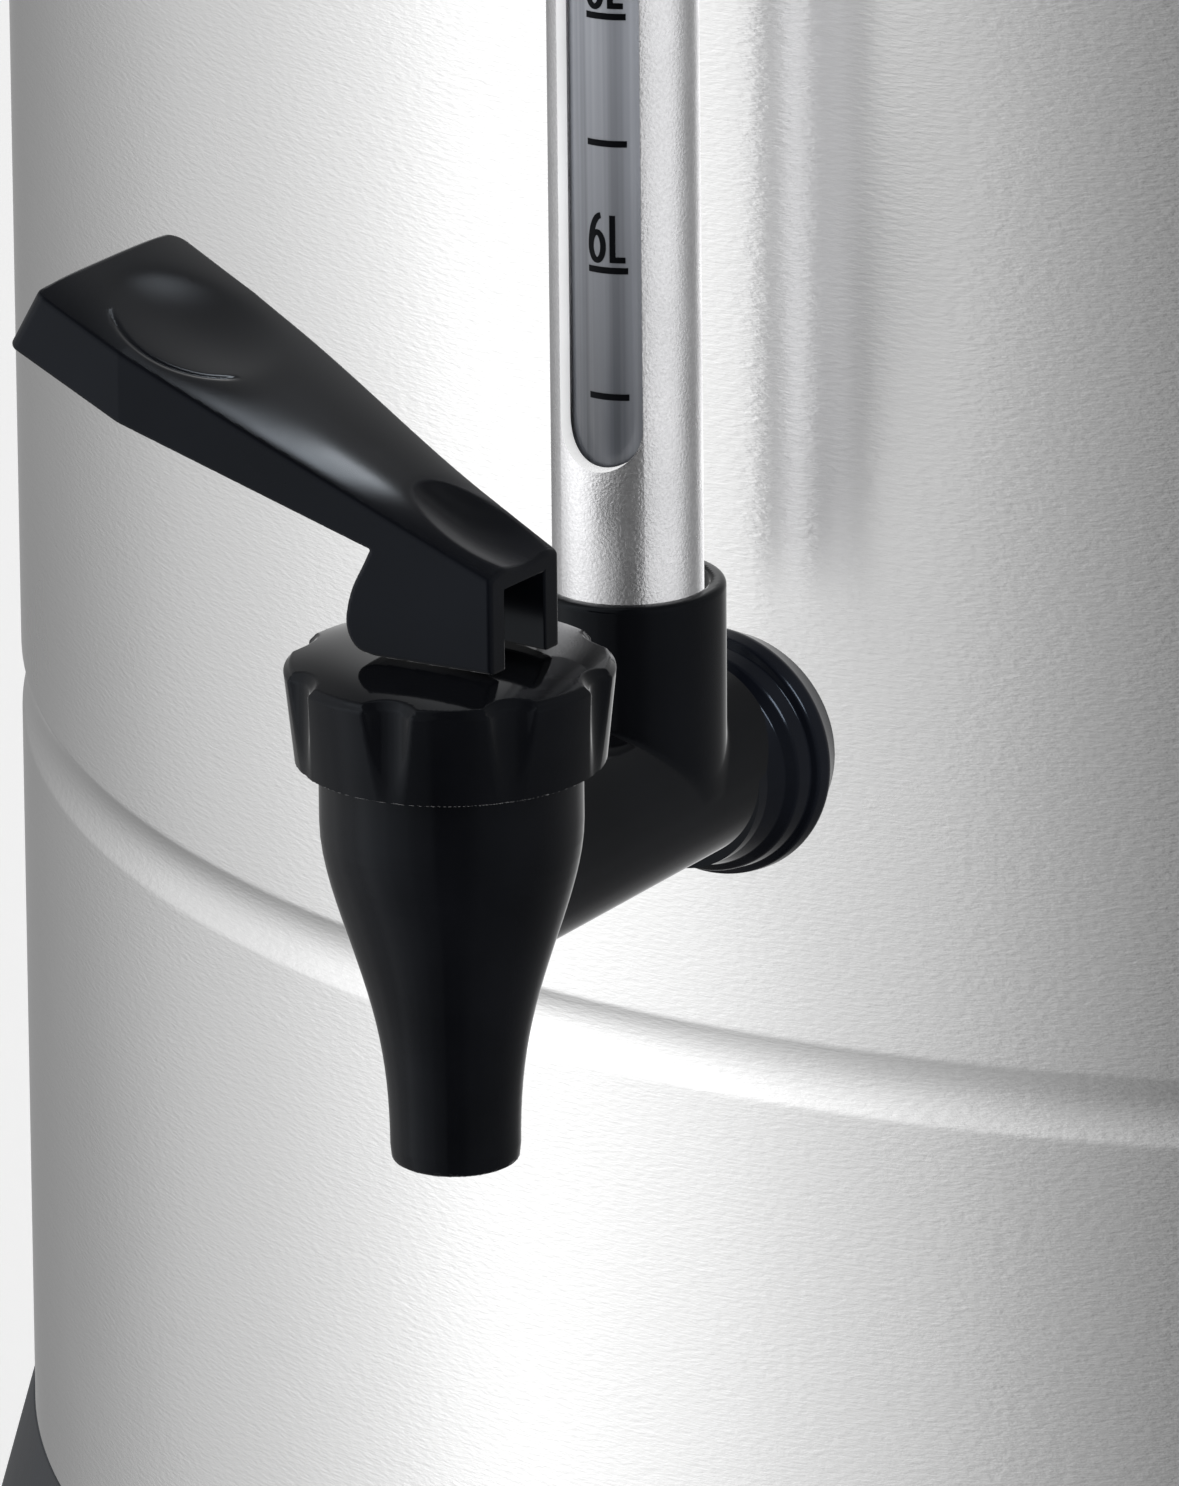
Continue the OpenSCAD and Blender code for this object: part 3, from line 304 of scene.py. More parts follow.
def skin(name, distance, low, high, step, place=Matrix.Identity(4)):
    """A mesh on the zero surface of a distance function, with its true normals."""
    axes = [np.arange(l, h + step, step) for l, h in zip(low, high)]
    value = distance(*np.meshgrid(*axes, indexing="ij"))
    inside = value < 0
    cells = tuple(n - 1 for n in value.shape)
    total, hits = np.zeros(cells + (3,)), np.zeros(cells)
    crossings = []
    for a in range(3):
        lower = tuple(slice(0, -1) if k == a else slice(None) for k in range(3))
        upper = tuple(slice(1, None) if k == a else slice(None) for k in range(3))
        cross = inside[lower] != inside[upper]
        crossings.append(cross)
        at = np.argwhere(cross)
        f0, f1 = value[lower][cross], value[upper][cross]
        spot = at.astype(float)
        spot[:, a] += f0 / (f0 - f1)
        b, c = (a + 1) % 3, (a + 2) % 3
        for db in (0, 1):
            for dc in (0, 1):
                cell = at.copy()
                cell[:, b] -= db
                cell[:, c] -= dc
                np.add.at(total, tuple(cell.T), spot)
                np.add.at(hits, tuple(cell.T), 1)
    active = hits > 0
    number = np.full(cells, -1)
    number[active] = np.arange(active.sum())
    points = total[active] / hits[active][:, None] * step + np.array(low)
    faces = []
    for a in range(3):
        b, c = (a + 1) % 3, (a + 2) % 3
        at = np.argwhere(crossings[a])
        quad = []
        for db, dc in ((1, 1), (0, 1), (0, 0), (1, 0)):
            cell = at.copy()
            cell[:, b] -= db
            cell[:, c] -= dc
            quad.append(number[tuple(cell.T)])
        quad = np.stack(quad, 1)
        outward = inside[tuple(at.T)]
        faces += np.where(outward[:, None], quad, quad[:, ::-1]).tolist()
    for _ in range(4):
        grad = slope_of(distance, points)
        size = np.maximum((grad ** 2).sum(1), 1e-6)
        move = (distance(*points.T) / size)[:, None] * grad
        points = points - np.clip(move, -step, step)
    grad = slope_of(distance, points)
    normals = grad / np.maximum(np.linalg.norm(grad, axis=1), 1e-9)[:, None]
    return make_mesh(name, points.tolist(), faces, place, normals=normals)


# Materials

class Shader:
    """A material with short calls for its nodes."""

    def __init__(self, name, **values):
        self.material = bpy.data.materials.new(name)
        self.material.use_nodes = True
        self.nodes = self.material.node_tree.nodes
        self.links = self.material.node_tree.links
        self.surface = self.nodes["Principled BSDF"]
        for key, value in values.items():
            self.surface.inputs[key.replace("_", " ")].default_value = value

    def add(self, kind, inputs=None, **settings):
        node = self.nodes.new("ShaderNode" + kind)
        for key, value in settings.items():
            setattr(node, key, value)
        for key, value in (inputs or {}).items():
            if isinstance(value, bpy.types.NodeSocket):
                self.links.new(value, node.inputs[key])
            else:
                node.inputs[key].default_value = value
        return node

    def set(self, key, socket):
        self.links.new(socket, self.surface.inputs[key])

    def coordinates(self, scale, kind="Object"):
        where = self.add("TexCoord").outputs[kind]
        return self.add("Mapping", {"Vector": where, "Scale": scale}).outputs["Vector"]

    def noise(self, scale, detail=3.0, kind="Object", rough=0.5):
        where = self.coordinates(scale, kind)
        made = self.add("TexNoise", {"Vector": where, "Scale": 1.0, "Detail": detail, "Roughness": rough})
        return made.outputs["Fac"]

    def range(self, value, low, high, start=0.3, end=0.7):
        inputs = {"Value": value, "From Min": start, "From Max": end, "To Min": low, "To Max": high}
        return self.add("MapRange", inputs).outputs["Result"]

    def mix(self, share, a, b):
        node = self.add("Mix", data_type="RGBA")
        self.links.new(share, node.inputs[0])
        for place, value in ((6, a), (7, b)):
            if isinstance(value, bpy.types.NodeSocket):
                self.links.new(value, node.inputs[place])
            else:
                node.inputs[place].default_value = value
        return node.outputs[2]

    def bump(self, height, depth, before=None):
        inputs = {"Height": height, "Distance": depth, "Strength": 1.0}
        if before is not None:
            inputs["Normal"] = before
        return self.add("Bump", inputs).outputs["Normal"]


def shade(colour, k):
    """A colour made lighter or darker."""
    return tuple(min(1.0, c * k) for c in colour) + (1.0,)


def brushed_steel(name, roughness, mark):
    """Sheet brushed round the drum: long fine lines and short dashes."""
    s = Shader(name, Metallic=1.0, Anisotropic=0.9, Anisotropic_Rotation=0.25)
    lines = s.noise((90, 5200, 1), 4.0, "UV")
    dashes = s.noise((640, 2300, 1), 3.0, "UV", 0.6)
    clouds = s.noise((30, 24, 1), 3.0, "UV")
    tone = s.mix(s.range(lines, 0, 1), (0.82, 0.82, 0.82, 1), (0.86, 0.86, 0.86, 1))
    s.set("Base Color", tone)
    s.set("Roughness", s.range(clouds, roughness - 0.03, roughness + 0.03))
    fine = s.bump(lines, 0.2e-6 * mark)
    s.set("Normal", s.bump(dashes, 6e-5 * mark, fine))
    tangent = s.add("Tangent", direction_type="UV_MAP")
    s.set("Tangent", tangent.outputs["Tangent"])
    return s.material


def plastic(name, colour, roughness, grain, depth, specular=0.4, glow=0.0):
    """Moulded plastic: a fine grain, faint flow clouds and an uneven gloss."""
    s = Shader(name, Specular_IOR_Level=specular, Specular_Tint=(0.82, 0.9, 1.0, 1), Emission_Strength=glow)
    clouds = s.noise((70, 70, 70), 3.0)
    fine = s.noise((grain, grain, grain), 4.0)
    s.set("Base Color", s.mix(s.range(clouds, 0, 1), shade(colour, 0.75), shade(colour, 1.3)))
    s.set("Roughness", s.range(clouds, roughness - 0.04, roughness + 0.04))
    s.set("Normal", s.bump(fine, depth))
    return s.material


def metal(name, colour, roughness, grain, depth):
    """Plain metal with a fine grain."""
    s = Shader(name, Metallic=1.0)
    fine = s.noise((grain, grain, grain), 3.0, rough=0.65)
    stains = s.noise((120, 120, 120), 4.0)
    s.set("Base Color", s.mix(s.range(fine, 0, 1), shade(colour, 0.86), shade(colour, 1.08)))
    s.set("Roughness", s.range(stains, roughness - 0.05, roughness + 0.05))
    s.set("Normal", s.bump(fine, depth))
    return s.material


def sight_tube(name):
    """Grey clear plastic, drawn along its length, darker towards its foot."""
    s = Shader(name, Specular_IOR_Level=0.5, Roughness=0.22)
    streaks = s.noise((1100, 1100, 6), 2.0)
    height = s.add("SeparateXYZ", {"Vector": s.add("TexCoord").outputs["Object"]}).outputs["Z"]
    up = s.range(height, 0, 1, 0.228, 0.275)
    low = s.mix(s.range(streaks, 0, 1), (0.085, 0.091, 0.104, 1), (0.175, 0.184, 0.205, 1))
    high = s.mix(s.range(streaks, 0, 1), (0.26, 0.273, 0.305, 1), (0.40, 0.417, 0.46, 1))
    s.set("Base Color", s.mix(up, low, high))
    s.set("Normal", s.bump(streaks, 8e-6))
    return s.material


def lens(name, colour):
    """Clear coloured lens with a cross-hatched inside."""
    s = Shader(name, Roughness=0.12, Transmission_Weight=0.35)
    cells = s.add("TexVoronoi", {"Vector": s.coordinates((900, 900, 900)), "Scale": 1.0})
    s.set("Base Color", s.mix(cells.outputs["Distance"], shade(colour, 0.7), shade(colour, 1.2)))
    s.set("Normal", s.bump(cells.outputs["Distance"], 4e-5))
    return s.material


DRUM_STEEL = brushed_steel("drum_steel", 0.30, 1.0)
LID_STEEL = brushed_steel("lid_steel", 0.30, 0.8)
TAP_BLACK = plastic("tap_black", (0.0050, 0.0054, 0.0070), 0.07, 1800, 1e-6, 0.12)
LEVER_BLACK = plastic("lever_black", (0.0036, 0.0042, 0.0066), 0.20, 2600, 2e-6, 0.14)
BASE_BLACK = plastic("base_black", (0.016, 0.018, 0.022), 0.46, 1500, 2.5e-5)
PANEL_BLACK = plastic("panel_black", (0.010, 0.011, 0.013), 0.42, 1700, 1.5e-5)
KNOB_BLACK = plastic("knob_black", (0.009, 0.0095, 0.011), 0.34, 2000, 6e-6)
SATIN = metal("satin_alloy", (0.80, 0.80, 0.815), 0.30, 3000, 5.5e-5)
# White finish for the gauge slot's cut faces, with a glow of 0.4: a painted highlight that lights the faces
# from within.
CUT_FACE_PAINTED_GLOW = plastic("cut_face_painted_glow", (0.90, 0.90, 0.90), 0.35, 3000, 3e-6, 0.8, 0.4)
BRIGHT = metal("bright_steel", (0.85, 0.85, 0.86), 0.16, 2600, 2e-6)
TUBE = sight_tube("sight_tube")
INK = plastic("gauge_ink", (0.002, 0.002, 0.003), 0.5, 5000, 1e-6, 0.1)
WHITE_INK = plastic("white_ink", (0.78, 0.78, 0.76), 0.5, 5000, 1e-6)
SILICONE = plastic("silicone", (0.72, 0.72, 0.70), 0.5, 1500, 4e-6)
RUBBER = plastic("foot_rubber", (0.018, 0.018, 0.018), 0.75, 1100, 3e-5)
NYLON = plastic("white_nylon", (0.74, 0.72, 0.67), 0.42, 1300, 3e-6)
PHENOLIC = plastic("phenolic", (0.10, 0.055, 0.03), 0.45, 900, 1e-5)
GREEN = plastic("switch_green", (0.012, 0.11, 0.035), 0.28, 1500, 2e-6)
RESET_RED = plastic("reset_red", (0.45, 0.02, 0.015), 0.35, 1500, 3e-6)
WIRE_RED = plastic("wire_red", (0.32, 0.03, 0.02), 0.4, 1500, 5e-6)
BRASS = metal("brass", (0.78, 0.57, 0.28), 0.28, 1800, 3e-6)
ZINC = metal("zinc", (0.66, 0.67, 0.69), 0.32, 2200, 5e-6)
COPPER = metal("copper", (0.80, 0.43, 0.28), 0.3, 1800, 3e-6)
HEATER = metal("heater_sheath", (0.42, 0.42, 0.40), 0.38, 1600, 5e-6)
TANK_STEEL = metal("tank_steel", (0.74, 0.74, 0.74), 0.3, 1400, 3e-6)
RED_LENS = lens("red_lens", (0.72, 0.03, 0.02))
AMBER_LENS = lens("amber_lens", (0.80, 0.33, 0.03))


# Drum, lid and handles

DRUM = Matrix.Translation((0, AXIS_Y, 0))


def groove(z):
    """Depth of the pressed groove at a height."""
    soft = 0.1
    hollow = GROOVE_D * (1 - (2 * (z - GROOVE_Z) / GROOVE_W) ** 2)
    return (hollow + math.hypot(hollow, soft)) / 2


def drum():
    """The drum: a thin wall with a pressed groove and a rolled rim."""
    steps = 48
    heights = [GROOVE_Z + 1.4 * GROOVE_W * (i / steps - 0.5) for i in range(steps + 1)]
    inner_r = DRUM_R - WALL
    bead_z = RIM_Z - BEAD_R
    bead_x = inner_r + BEAD_R
    meet = math.degrees(math.asin((WALL - BEAD_R) / BEAD_R)) - 90
    outside = [(DRUM_R - groove(z), z) for z in heights]
    inside = [(inner_r - groove(z), z) for z in reversed(heights)]
    plain = 20.0
    outline = [(inner_r, EDGE_Z), (DRUM_R, EDGE_Z)]
    outline += [(DRUM_R, GROOVE_Z - plain), *outside, (DRUM_R, GROOVE_Z + plain)]
    outline += arc(bead_x, bead_z, BEAD_R, meet, 180, 28)
    outline += inside
    mesh = turned("drum_mesh", outline, DRUM, 384)
    finish_piece("drum", mesh, DRUM_STEEL, "urn", ["body_shell"])


def crown(r):
    """Height of the lid's crown at a radius."""
    return CROWN_Z - CROWN_RISE * max(0.0, (r - SEAT_R) / (PLUG_R - SEAT_R)) ** 2


def lid():
    """The crowned lid with a turned-down brim and a ring that drops into the drum."""
    brim_r = DRUM_R + BRIM_OUT
    top_z = BRIM_Z + WALL
    lip_z = BRIM_Z - BRIM_LIP
    plug_z = RIM_Z - PLUG_D
    ring_r = PLUG_R - WALL
    steps, bend = 40, 2.5
    radii = [SEAT_R + (PLUG_R - bend - SEAT_R) * i / steps for i in range(steps + 1)]
    top = [(r, crown(r)) for r in radii]
    under = [(r, crown(r) - WALL) for r in reversed(radii)]
    edge = rounded([
        (PLUG_R - 1.2, crown(PLUG_R - 1.2), 1.0), (PLUG_R + 0.6, top_z, 1.0),
        (brim_r, top_z, 0.8), (brim_r, lip_z, 0.35), (brim_r - WALL, lip_z, 0.35),
        (brim_r - WALL, BRIM_Z, 0.2), (PLUG_R, BRIM_Z, 0.2), (PLUG_R, plug_z, 0.35),
        (ring_r, plug_z, 0.35), (ring_r, crown(PLUG_R) - 0.6, 0)])
    outline = [(0, CROWN_Z), *top, *edge, *under, (0, CROWN_Z - WALL)]
    mesh = turned("lid_mesh", outline, DRUM, 256)
    finish_piece("lid", mesh, LID_STEEL, "lid", ["lid_shell"])


def lid_knob():
    """The lid's knob on its bright collar."""
    z = CROWN_Z + FERRULE_H
    bore = 2.7
    side = [(13.0, 0.0), (12.2, 3.0), (12.0, 6.5), (13.2, 11.0), (16.8, 14.0), (20.0, 16.2),
            (21.0, 19.0), (20.2, 22.4), (17.4, 25.0), (11.5, 26.5), (5.0, 26.95), (0.0, 27.0)]
    outline = [(0, z), *((r, z + h) for r, h in smooth_line(side, 6))]
    mesh = turned("lid_knob_mesh", outline, DRUM, 96)
    finish_piece("lid_knob_cap", mesh, KNOB_BLACK, "lid", ["lid_knob"])
    ring = rounded([
        (bore, CROWN_Z, 0), (FERRULE_R, CROWN_Z, 0.4), (FERRULE_R, CROWN_Z + 2.2, 0.8),
        (13.4, z, 0.8), (bore, z, 0)])
    mesh = turned("lid_ferrule_mesh", ring, DRUM, 96)
    finish_piece("lid_collar", mesh, BRIGHT, "lid", ["lid_ferrule"])


def handle(name, turn, node):
    """A bent grip on two posts with round feet."""
    def polar(r, a):
        return Vector((r * math.cos(math.radians(a)), r * math.sin(math.radians(a)), 0))

    bend, swell, root = 15.0, 0.6, DRUM_R - 1.0
    post_steps, bend_steps, grip_steps = 8, 12, 12
    foot_r, foot_in, foot_h = 11.0, -0.6, 7.5
    bend_a = math.degrees(bend / HANDLE_R) - HANDLE_A
    half = []
    for k in range(post_steps):
        half.append((polar(root + (HANDLE_R - bend - root) * k / post_steps, -HANDLE_A), POST_R))
    start = polar(HANDLE_R - bend, -HANDLE_A)
    corner = polar(HANDLE_R, -HANDLE_A)
    end = polar(HANDLE_R, bend_a)
    for k in range(bend_steps + 1):
        t = k / bend_steps
        point = start * (1 - t) ** 2 + corner * 2 * t * (1 - t) + end * t ** 2
        half.append((point, POST_R + (GRIP_R - POST_R) * t))
    for k in range(1, grip_steps):
        half.append((polar(HANDLE_R, bend_a * (1 - k / grip_steps)), GRIP_R + swell * k / grip_steps))
    mirror = [(Vector((p.x, -p.y, 0)), r) for p, r in reversed(half)]
    run = half + [(polar(HANDLE_R, 0), GRIP_R + swell)] + mirror
    grip = swept([p for p, r in run], [r for p, r in run], 40)
    flange = rounded([(foot_r, foot_in, 0), (foot_r, 2.6, 1.0), (8.6, 3.6, 1.6), (POST_R, foot_h, 0)])
    foot = [(0, foot_in), *flange, (0, foot_h)]
    feet = []
    for a in (-HANDLE_A, HANDLE_A):
        lean = Matrix.Rotation(math.radians(a), 4, "Z") @ Matrix.Translation((DRUM_R, 0, 0))
        lean = lean @ Matrix.Rotation(math.pi / 2, 4, "Y")
        mesh = turned("handle_foot", foot, lean, 64)
        feet.append(([v.co / MM for v in mesh.vertices], [list(p.vertices) for p in mesh.polygons]))
        bpy.data.meshes.remove(mesh)
    place = DRUM @ Matrix.Translation((0, 0, HANDLE_Z)) @ Matrix.Rotation(math.radians(turn), 4, "Z")
    mesh = make_mesh(name + "_mesh", *joined([grip, *feet]), place, 40)
    finish_piece(name, mesh, KNOB_BLACK, "urn", [node])


# Sight gauge

GAUGE = Matrix.Translation((0, GAUGE_Y, 0))


def prism(outline, low, high):
    """Points and faces of an outline (x, z) drawn out along Y."""
    count = len(outline)
    verts = [(x, low, z) for x, z in outline] + [(x, high, z) for x, z in outline]
    faces = [[k, count + k, count + (k + 1) % count, (k + 1) % count] for k in range(count)]
    return verts, [*faces, [*range(count)], [*range(2 * count - 1, count - 1, -1)]]


def baked(piece):
    """Puts the result of a piece's modifiers into its mesh."""
    state = bpy.context.evaluated_depsgraph_get()
    mesh = bpy.data.meshes.new_from_object(piece.evaluated_get(state))
    piece.modifiers.clear()
    piece.data = mesh
    return mesh


def cut(piece, verts, faces, place, material):
    """Cuts a solid out of a piece, with its own finish on the cut faces."""
    mesh = make_mesh("cutter", verts, faces, place)
    mesh.materials.append(material)
    tool = bpy.data.objects.new("cutter", mesh)
    bpy.context.scene.collection.objects.link(tool)
    step = piece.modifiers.new("cut", "BOOLEAN")
    step.object = tool
    step.operation = "DIFFERENCE"
    step.solver = "EXACT"
    step.material_mode = "TRANSFER"
    bpy.context.view_layer.update()
    baked(piece)
    bpy.data.objects.remove(tool)


def gauge_cover():
    """The satin tube round the gauge, with a slot in its front."""
    z0, z1 = COVER_Z
    inner = COVER_R - COVER_T
    outline = [(inner, z0), (COVER_R, z0), (COVER_R, z1), (inner, z1)]
    mesh = turned("gauge_cover_mesh", outline, GAUGE, 160)
    piece = finish_piece("gauge_sleeve", mesh, SATIN, "urn", ["gauge_cover"], True)
    half = COVER_R * math.sin(math.radians(SLOT_A))
    low = arc(0, SLOT_Z[0] + half, half, 180, 360, 32)
    high = arc(0, SLOT_Z[1] - half, half, 0, 180, 32)
    turn = Matrix.Rotation(math.radians(SLOT_TURN), 4, "Z")
    verts, faces = prism(low + high, -2 * COVER_R, 0)
    # The cut faces take the glowing white finish, a painted highlight along the slot's edges.
    cut(piece, verts, faces, GAUGE @ turn, CUT_FACE_PAINTED_GLOW)
    edge = piece.modifiers.new("edge", "BEVEL")
    edge.width = 0.22 * MM
    edge.segments = 3
    edge.limit_method = "ANGLE"
    edge.angle_limit = math.radians(50)
    bpy.context.view_layer.update()
    mesh = baked(piece)
    mesh.polygons.foreach_set("use_smooth", [True] * len(mesh.polygons))
    mesh.set_sharp_from_angle(angle=math.radians(40))


def gauge_tube():
    """The clear tube that shows the level."""
    z0, z1 = TUBE_Z
    outline = rounded([(TUBE_BORE, z0, 0), (TUBE_R, z0, 0.3), (TUBE_R, z1, 0.3), (TUBE_BORE, z1, 0)])
    mesh = turned("gauge_tube_mesh", outline, GAUGE, 96)
    finish_piece("sight_tube", mesh, TUBE, "urn", ["gauge_tube"])


def gauge_cap():
    """The black cap that holds the top of the gauge to the drum."""
    out_r, cap_h, inner = COVER_R + 2.4, 22.0, -20.0
    arm_half, arm_edge = (6, 14, 7), 1.2
    z0 = GAUGE_TOP - cap_h
    mid = GAUGE_TOP - cap_h / 2
    back_y = AXIS_Y - GAUGE_Y
    profile = rounded([(inner, z0, 0), (out_r, z0, 0.6), (out_r, GAUGE_TOP, 2.4), (inner, GAUGE_TOP, 0)])

    def distance(x, y, z):
        r = np.hypot(x, y)
        body = outline_distance(r, z, profile)
        arm = box_distance(x, y - arm_half[1], z - mid, arm_half, arm_edge)
        solid = round_or(body, arm, 1.6)
        hole = np.maximum(r - COVER_R - 0.1, z - COVER_Z[1])
        solid = round_and(solid, -hole, 0.3)
        return np.maximum(solid, DRUM_R - 0.2 - np.hypot(x, y - back_y))

    low, high = (-out_r - 1, -out_r - 1, z0 - 1), (out_r + 1, 29, GAUGE_TOP + 1)
    mesh = skin("gauge_cap_mesh", distance, low, high, 0.4, GAUGE)
    finish_piece("gauge_top_cap", mesh, KNOB_BLACK, "urn", ["gauge_cap"])


def oval(cx, cy, rx, ry, a0=0.0, a1=360.0, steps=28):
    """Points of part of an oval, in a glyph's unit cell."""
    angles = [math.radians(a0 + (a1 - a0) * i / steps) for i in range(steps + 1)]
    return [(cx + rx * math.cos(a), cy + ry * math.sin(a)) for a in angles]


# Strokes of the marks, each in a cell one unit wide and high
STROKES = {
    "0": [oval(0.5, 0.5, 0.4, 0.47)],
    "1": [[(0.22, 0.78), (0.56, 0.97), (0.56, 0.0)]],
    "2": [oval(0.5, 0.7, 0.38, 0.28, 165, -25) + [(0.1, 0.04), (0.92, 0.04)]],
    "4": [[(0.7, 0.0), (0.7, 0.97), (0.06, 0.3), (0.95, 0.3)]],
    "6": [oval(0.5, 0.31, 0.4, 0.3), oval(0.78, 0.31, 0.68, 0.67, 180, 92)],
    "8": [oval(0.5, 0.73, 0.33, 0.24), oval(0.5, 0.25, 0.4, 0.25)],
    "L": [[(0.16, 0.99), (0.16, 0.04), (0.92, 0.04)]],
    "-": [[(0.0, 0.0), (1.0, 0.0)]],
}


def ribbon(points, width, depth, spread):
    """A flat closed band along points in a plane, put on a surface by spread(x, y, height)."""
    fine = [Vector(points[0])]
    for a, b in zip(points, points[1:]):
        a, b = Vector(a), Vector(b)
        count = max(1, math.ceil((b - a).length / 0.25))
        fine += [a.lerp(b, (k + 1) / count) for k in range(count)]
    verts, faces = [], []
    for i, p in enumerate(fine):
        before = (p - fine[i - 1]).normalized() if i else (fine[1] - p).normalized()
        after = (fine[i + 1] - p).normalized() if i + 1 < len(fine) else before
        ahead = (before + after).normalized()
        across = Vector((-ahead.y, ahead.x)) / max(0.5, ahead.dot(before)) * width / 2
        for q, h in ((p + across, 0), (p - across, 0), (p - across, depth), (p + across, depth)):
            verts.append(spread(q.x, q.y, h))
    for i in range(len(fine) - 1):
        for k in range(4):
            n = (k + 1) % 4
            faces.append([4 * i + k, 4 * i + n, 4 * i + 4 + n, 4 * i + 4 + k])
    last = 4 * (len(fine) - 1)
    return verts, [*faces, [3, 2, 1, 0], [last, last + 1, last + 2, last + 3]]


def lettering(text, width, height, gap, stroke, depth, spread):
    """The bands of a short text, centred on its own middle, standing on its base line."""
    bands = []
    left = -(len(text) * width + (len(text) - 1) * gap) / 2
    for n, sign in enumerate(text):
        for line in STROKES[sign]:
            points = [(left + n * (width + gap) + x * width, y * height) for x, y in line]
            bands.append(ribbon(points, stroke, depth, spread))
    return bands


def gauge_marks():
    """Litre marks round the front of the tube, a number at every second one."""
    turn, depth, sunk, above = 11.0, 0.06, 0.02, 0.95
    line_w, line_t = 4.3, 0.68
    sign_h, sign_gap, sign_t = 5.0, 0.55, 0.62
    for litre in range(5, 20):
        z = FLOOR_Z + litre * LITRE

        def spread(x, y, h):
            a = math.radians(turn) + x / TUBE_R
            r = TUBE_R - sunk + h
            return (r * math.sin(a), -r * math.cos(a), z + y)

        def raised(x, y, h):
            return spread(x, y + above, h)

        bands = lettering("-", line_w, 1, 0, line_t, depth, spread)
        if litre % 2 == 0:
            width = 1.75 if litre < 10 else 1.35
            bands += lettering(f"{litre}L", width, sign_h, sign_gap, sign_t, depth, raised)
        mesh = make_mesh("gauge_mark_mesh", *joined(bands), GAUGE)
        finish_piece(f"gauge_mark_{litre}", mesh, INK, "urn", [])


# Tap

TAP = Matrix.Translation((0, TAP_Y, 0))


def spout_radius(t):
    """Outer radius of the spout at a share of its height."""
    k = t ** 1.4
    return TIP_R + (VALVE_R - TIP_R) * k * k * (3 - 2 * k)


def tap_body():
    """Stem, gauge socket, valve chamber and spout in one moulding."""
    steps = 22
    inner, swell_z, top = -20.0, 8.0, VALVE_H + 3
    collar_l, draft, cup_gap, cup_d = 5.4, 0.15, 0.6, 7.5
    spout_wall, bore_z = 1.6, 5
    side = [(spout_radius(i / steps), -TIP_D + (TIP_D + swell_z) * i / steps) for i in range(steps + 1)]
    mouth = [(inner, -TIP_D), (TIP_R - 0.7, -TIP_D), (TIP_R - 0.15, -TIP_D + 0.35)]
    valve = [*mouth, *side[1:], (VALVE_R, top), (inner, top)]
    gauge_y = GAUGE_Y - TAP_Y
    wall_y = AXIS_Y - DRUM_R - TAP_Y

    def distance(x, y, z):
        z = z - STEM_Z
        chamber = outline_distance(np.hypot(x, y), z, valve)
        share = np.clip(1 - y / (wall_y - collar_l), 0, 1)
        stem_r = STEM_R[0] + (STEM_R[1] - STEM_R[0]) * share
        stem = np.maximum(np.hypot(x, z) - stem_r, np.maximum(-y, y - wall_y - 1.0))
        r = np.hypot(x, y - gauge_y)
        socket_r = SOCKET_R - draft * np.clip(1 - z / SOCKET_H, 0, 1)
        socket = round_and(r - socket_r, np.maximum(z - SOCKET_H, -z), 0.7)
        cup = np.maximum(r - COVER_R - cup_gap, SOCKET_H - cup_d - z)
        socket = round_and(socket, -cup, 0.35)
        body = round_or(stem, chamber, 0.5)
        body = round_or(body, socket, 0.35)
        body = np.maximum(body, -cup)
        bore = np.maximum(np.hypot(x, y) - TIP_R + spout_wall, z + bore_z)
        return round_and(body, -bore, 0.4)

    low = (-VALVE_R - 1, -VALVE_R - 1, STEM_Z - TIP_D - 1)
    high = (VALVE_R + 1, wall_y + 2, STEM_Z + SOCKET_H + 1)
    mesh = skin("tap_body_mesh", distance, low, high, 0.4, TAP)
    finish_piece("tap_moulding", mesh, TAP_BLACK, "urn", ["tap_body"])


def tap_collar():
    """The stepped ring between the stem and the drum."""
    outline = rounded([
        (9.0, -0.75, 0), (11.5, -0.75, 0), (11.7, 0, 0), (13.4, 3.8, 1.4), (13.1, 5.6, 0.8), (12.3, 6.0, 0.4),
        (12.0, 8.0, 1.0), (11.0, 9.0, 0.6), (10.3, 11.5, 0.8), (10.2, 13.0, 0), (9.0, 13.0, 0)], 8)
    place = Matrix.Translation((0, AXIS_Y - DRUM_R, STEM_Z - COLLAR_DROP))
    place = place @ Matrix.Rotation(math.pi / 2, 4, "X")
    mesh = turned("tap_collar_mesh", outline, place, 128, 50)
    finish_piece("tap_ring", mesh, LEVER_BLACK, "urn", ["tap_collar"])


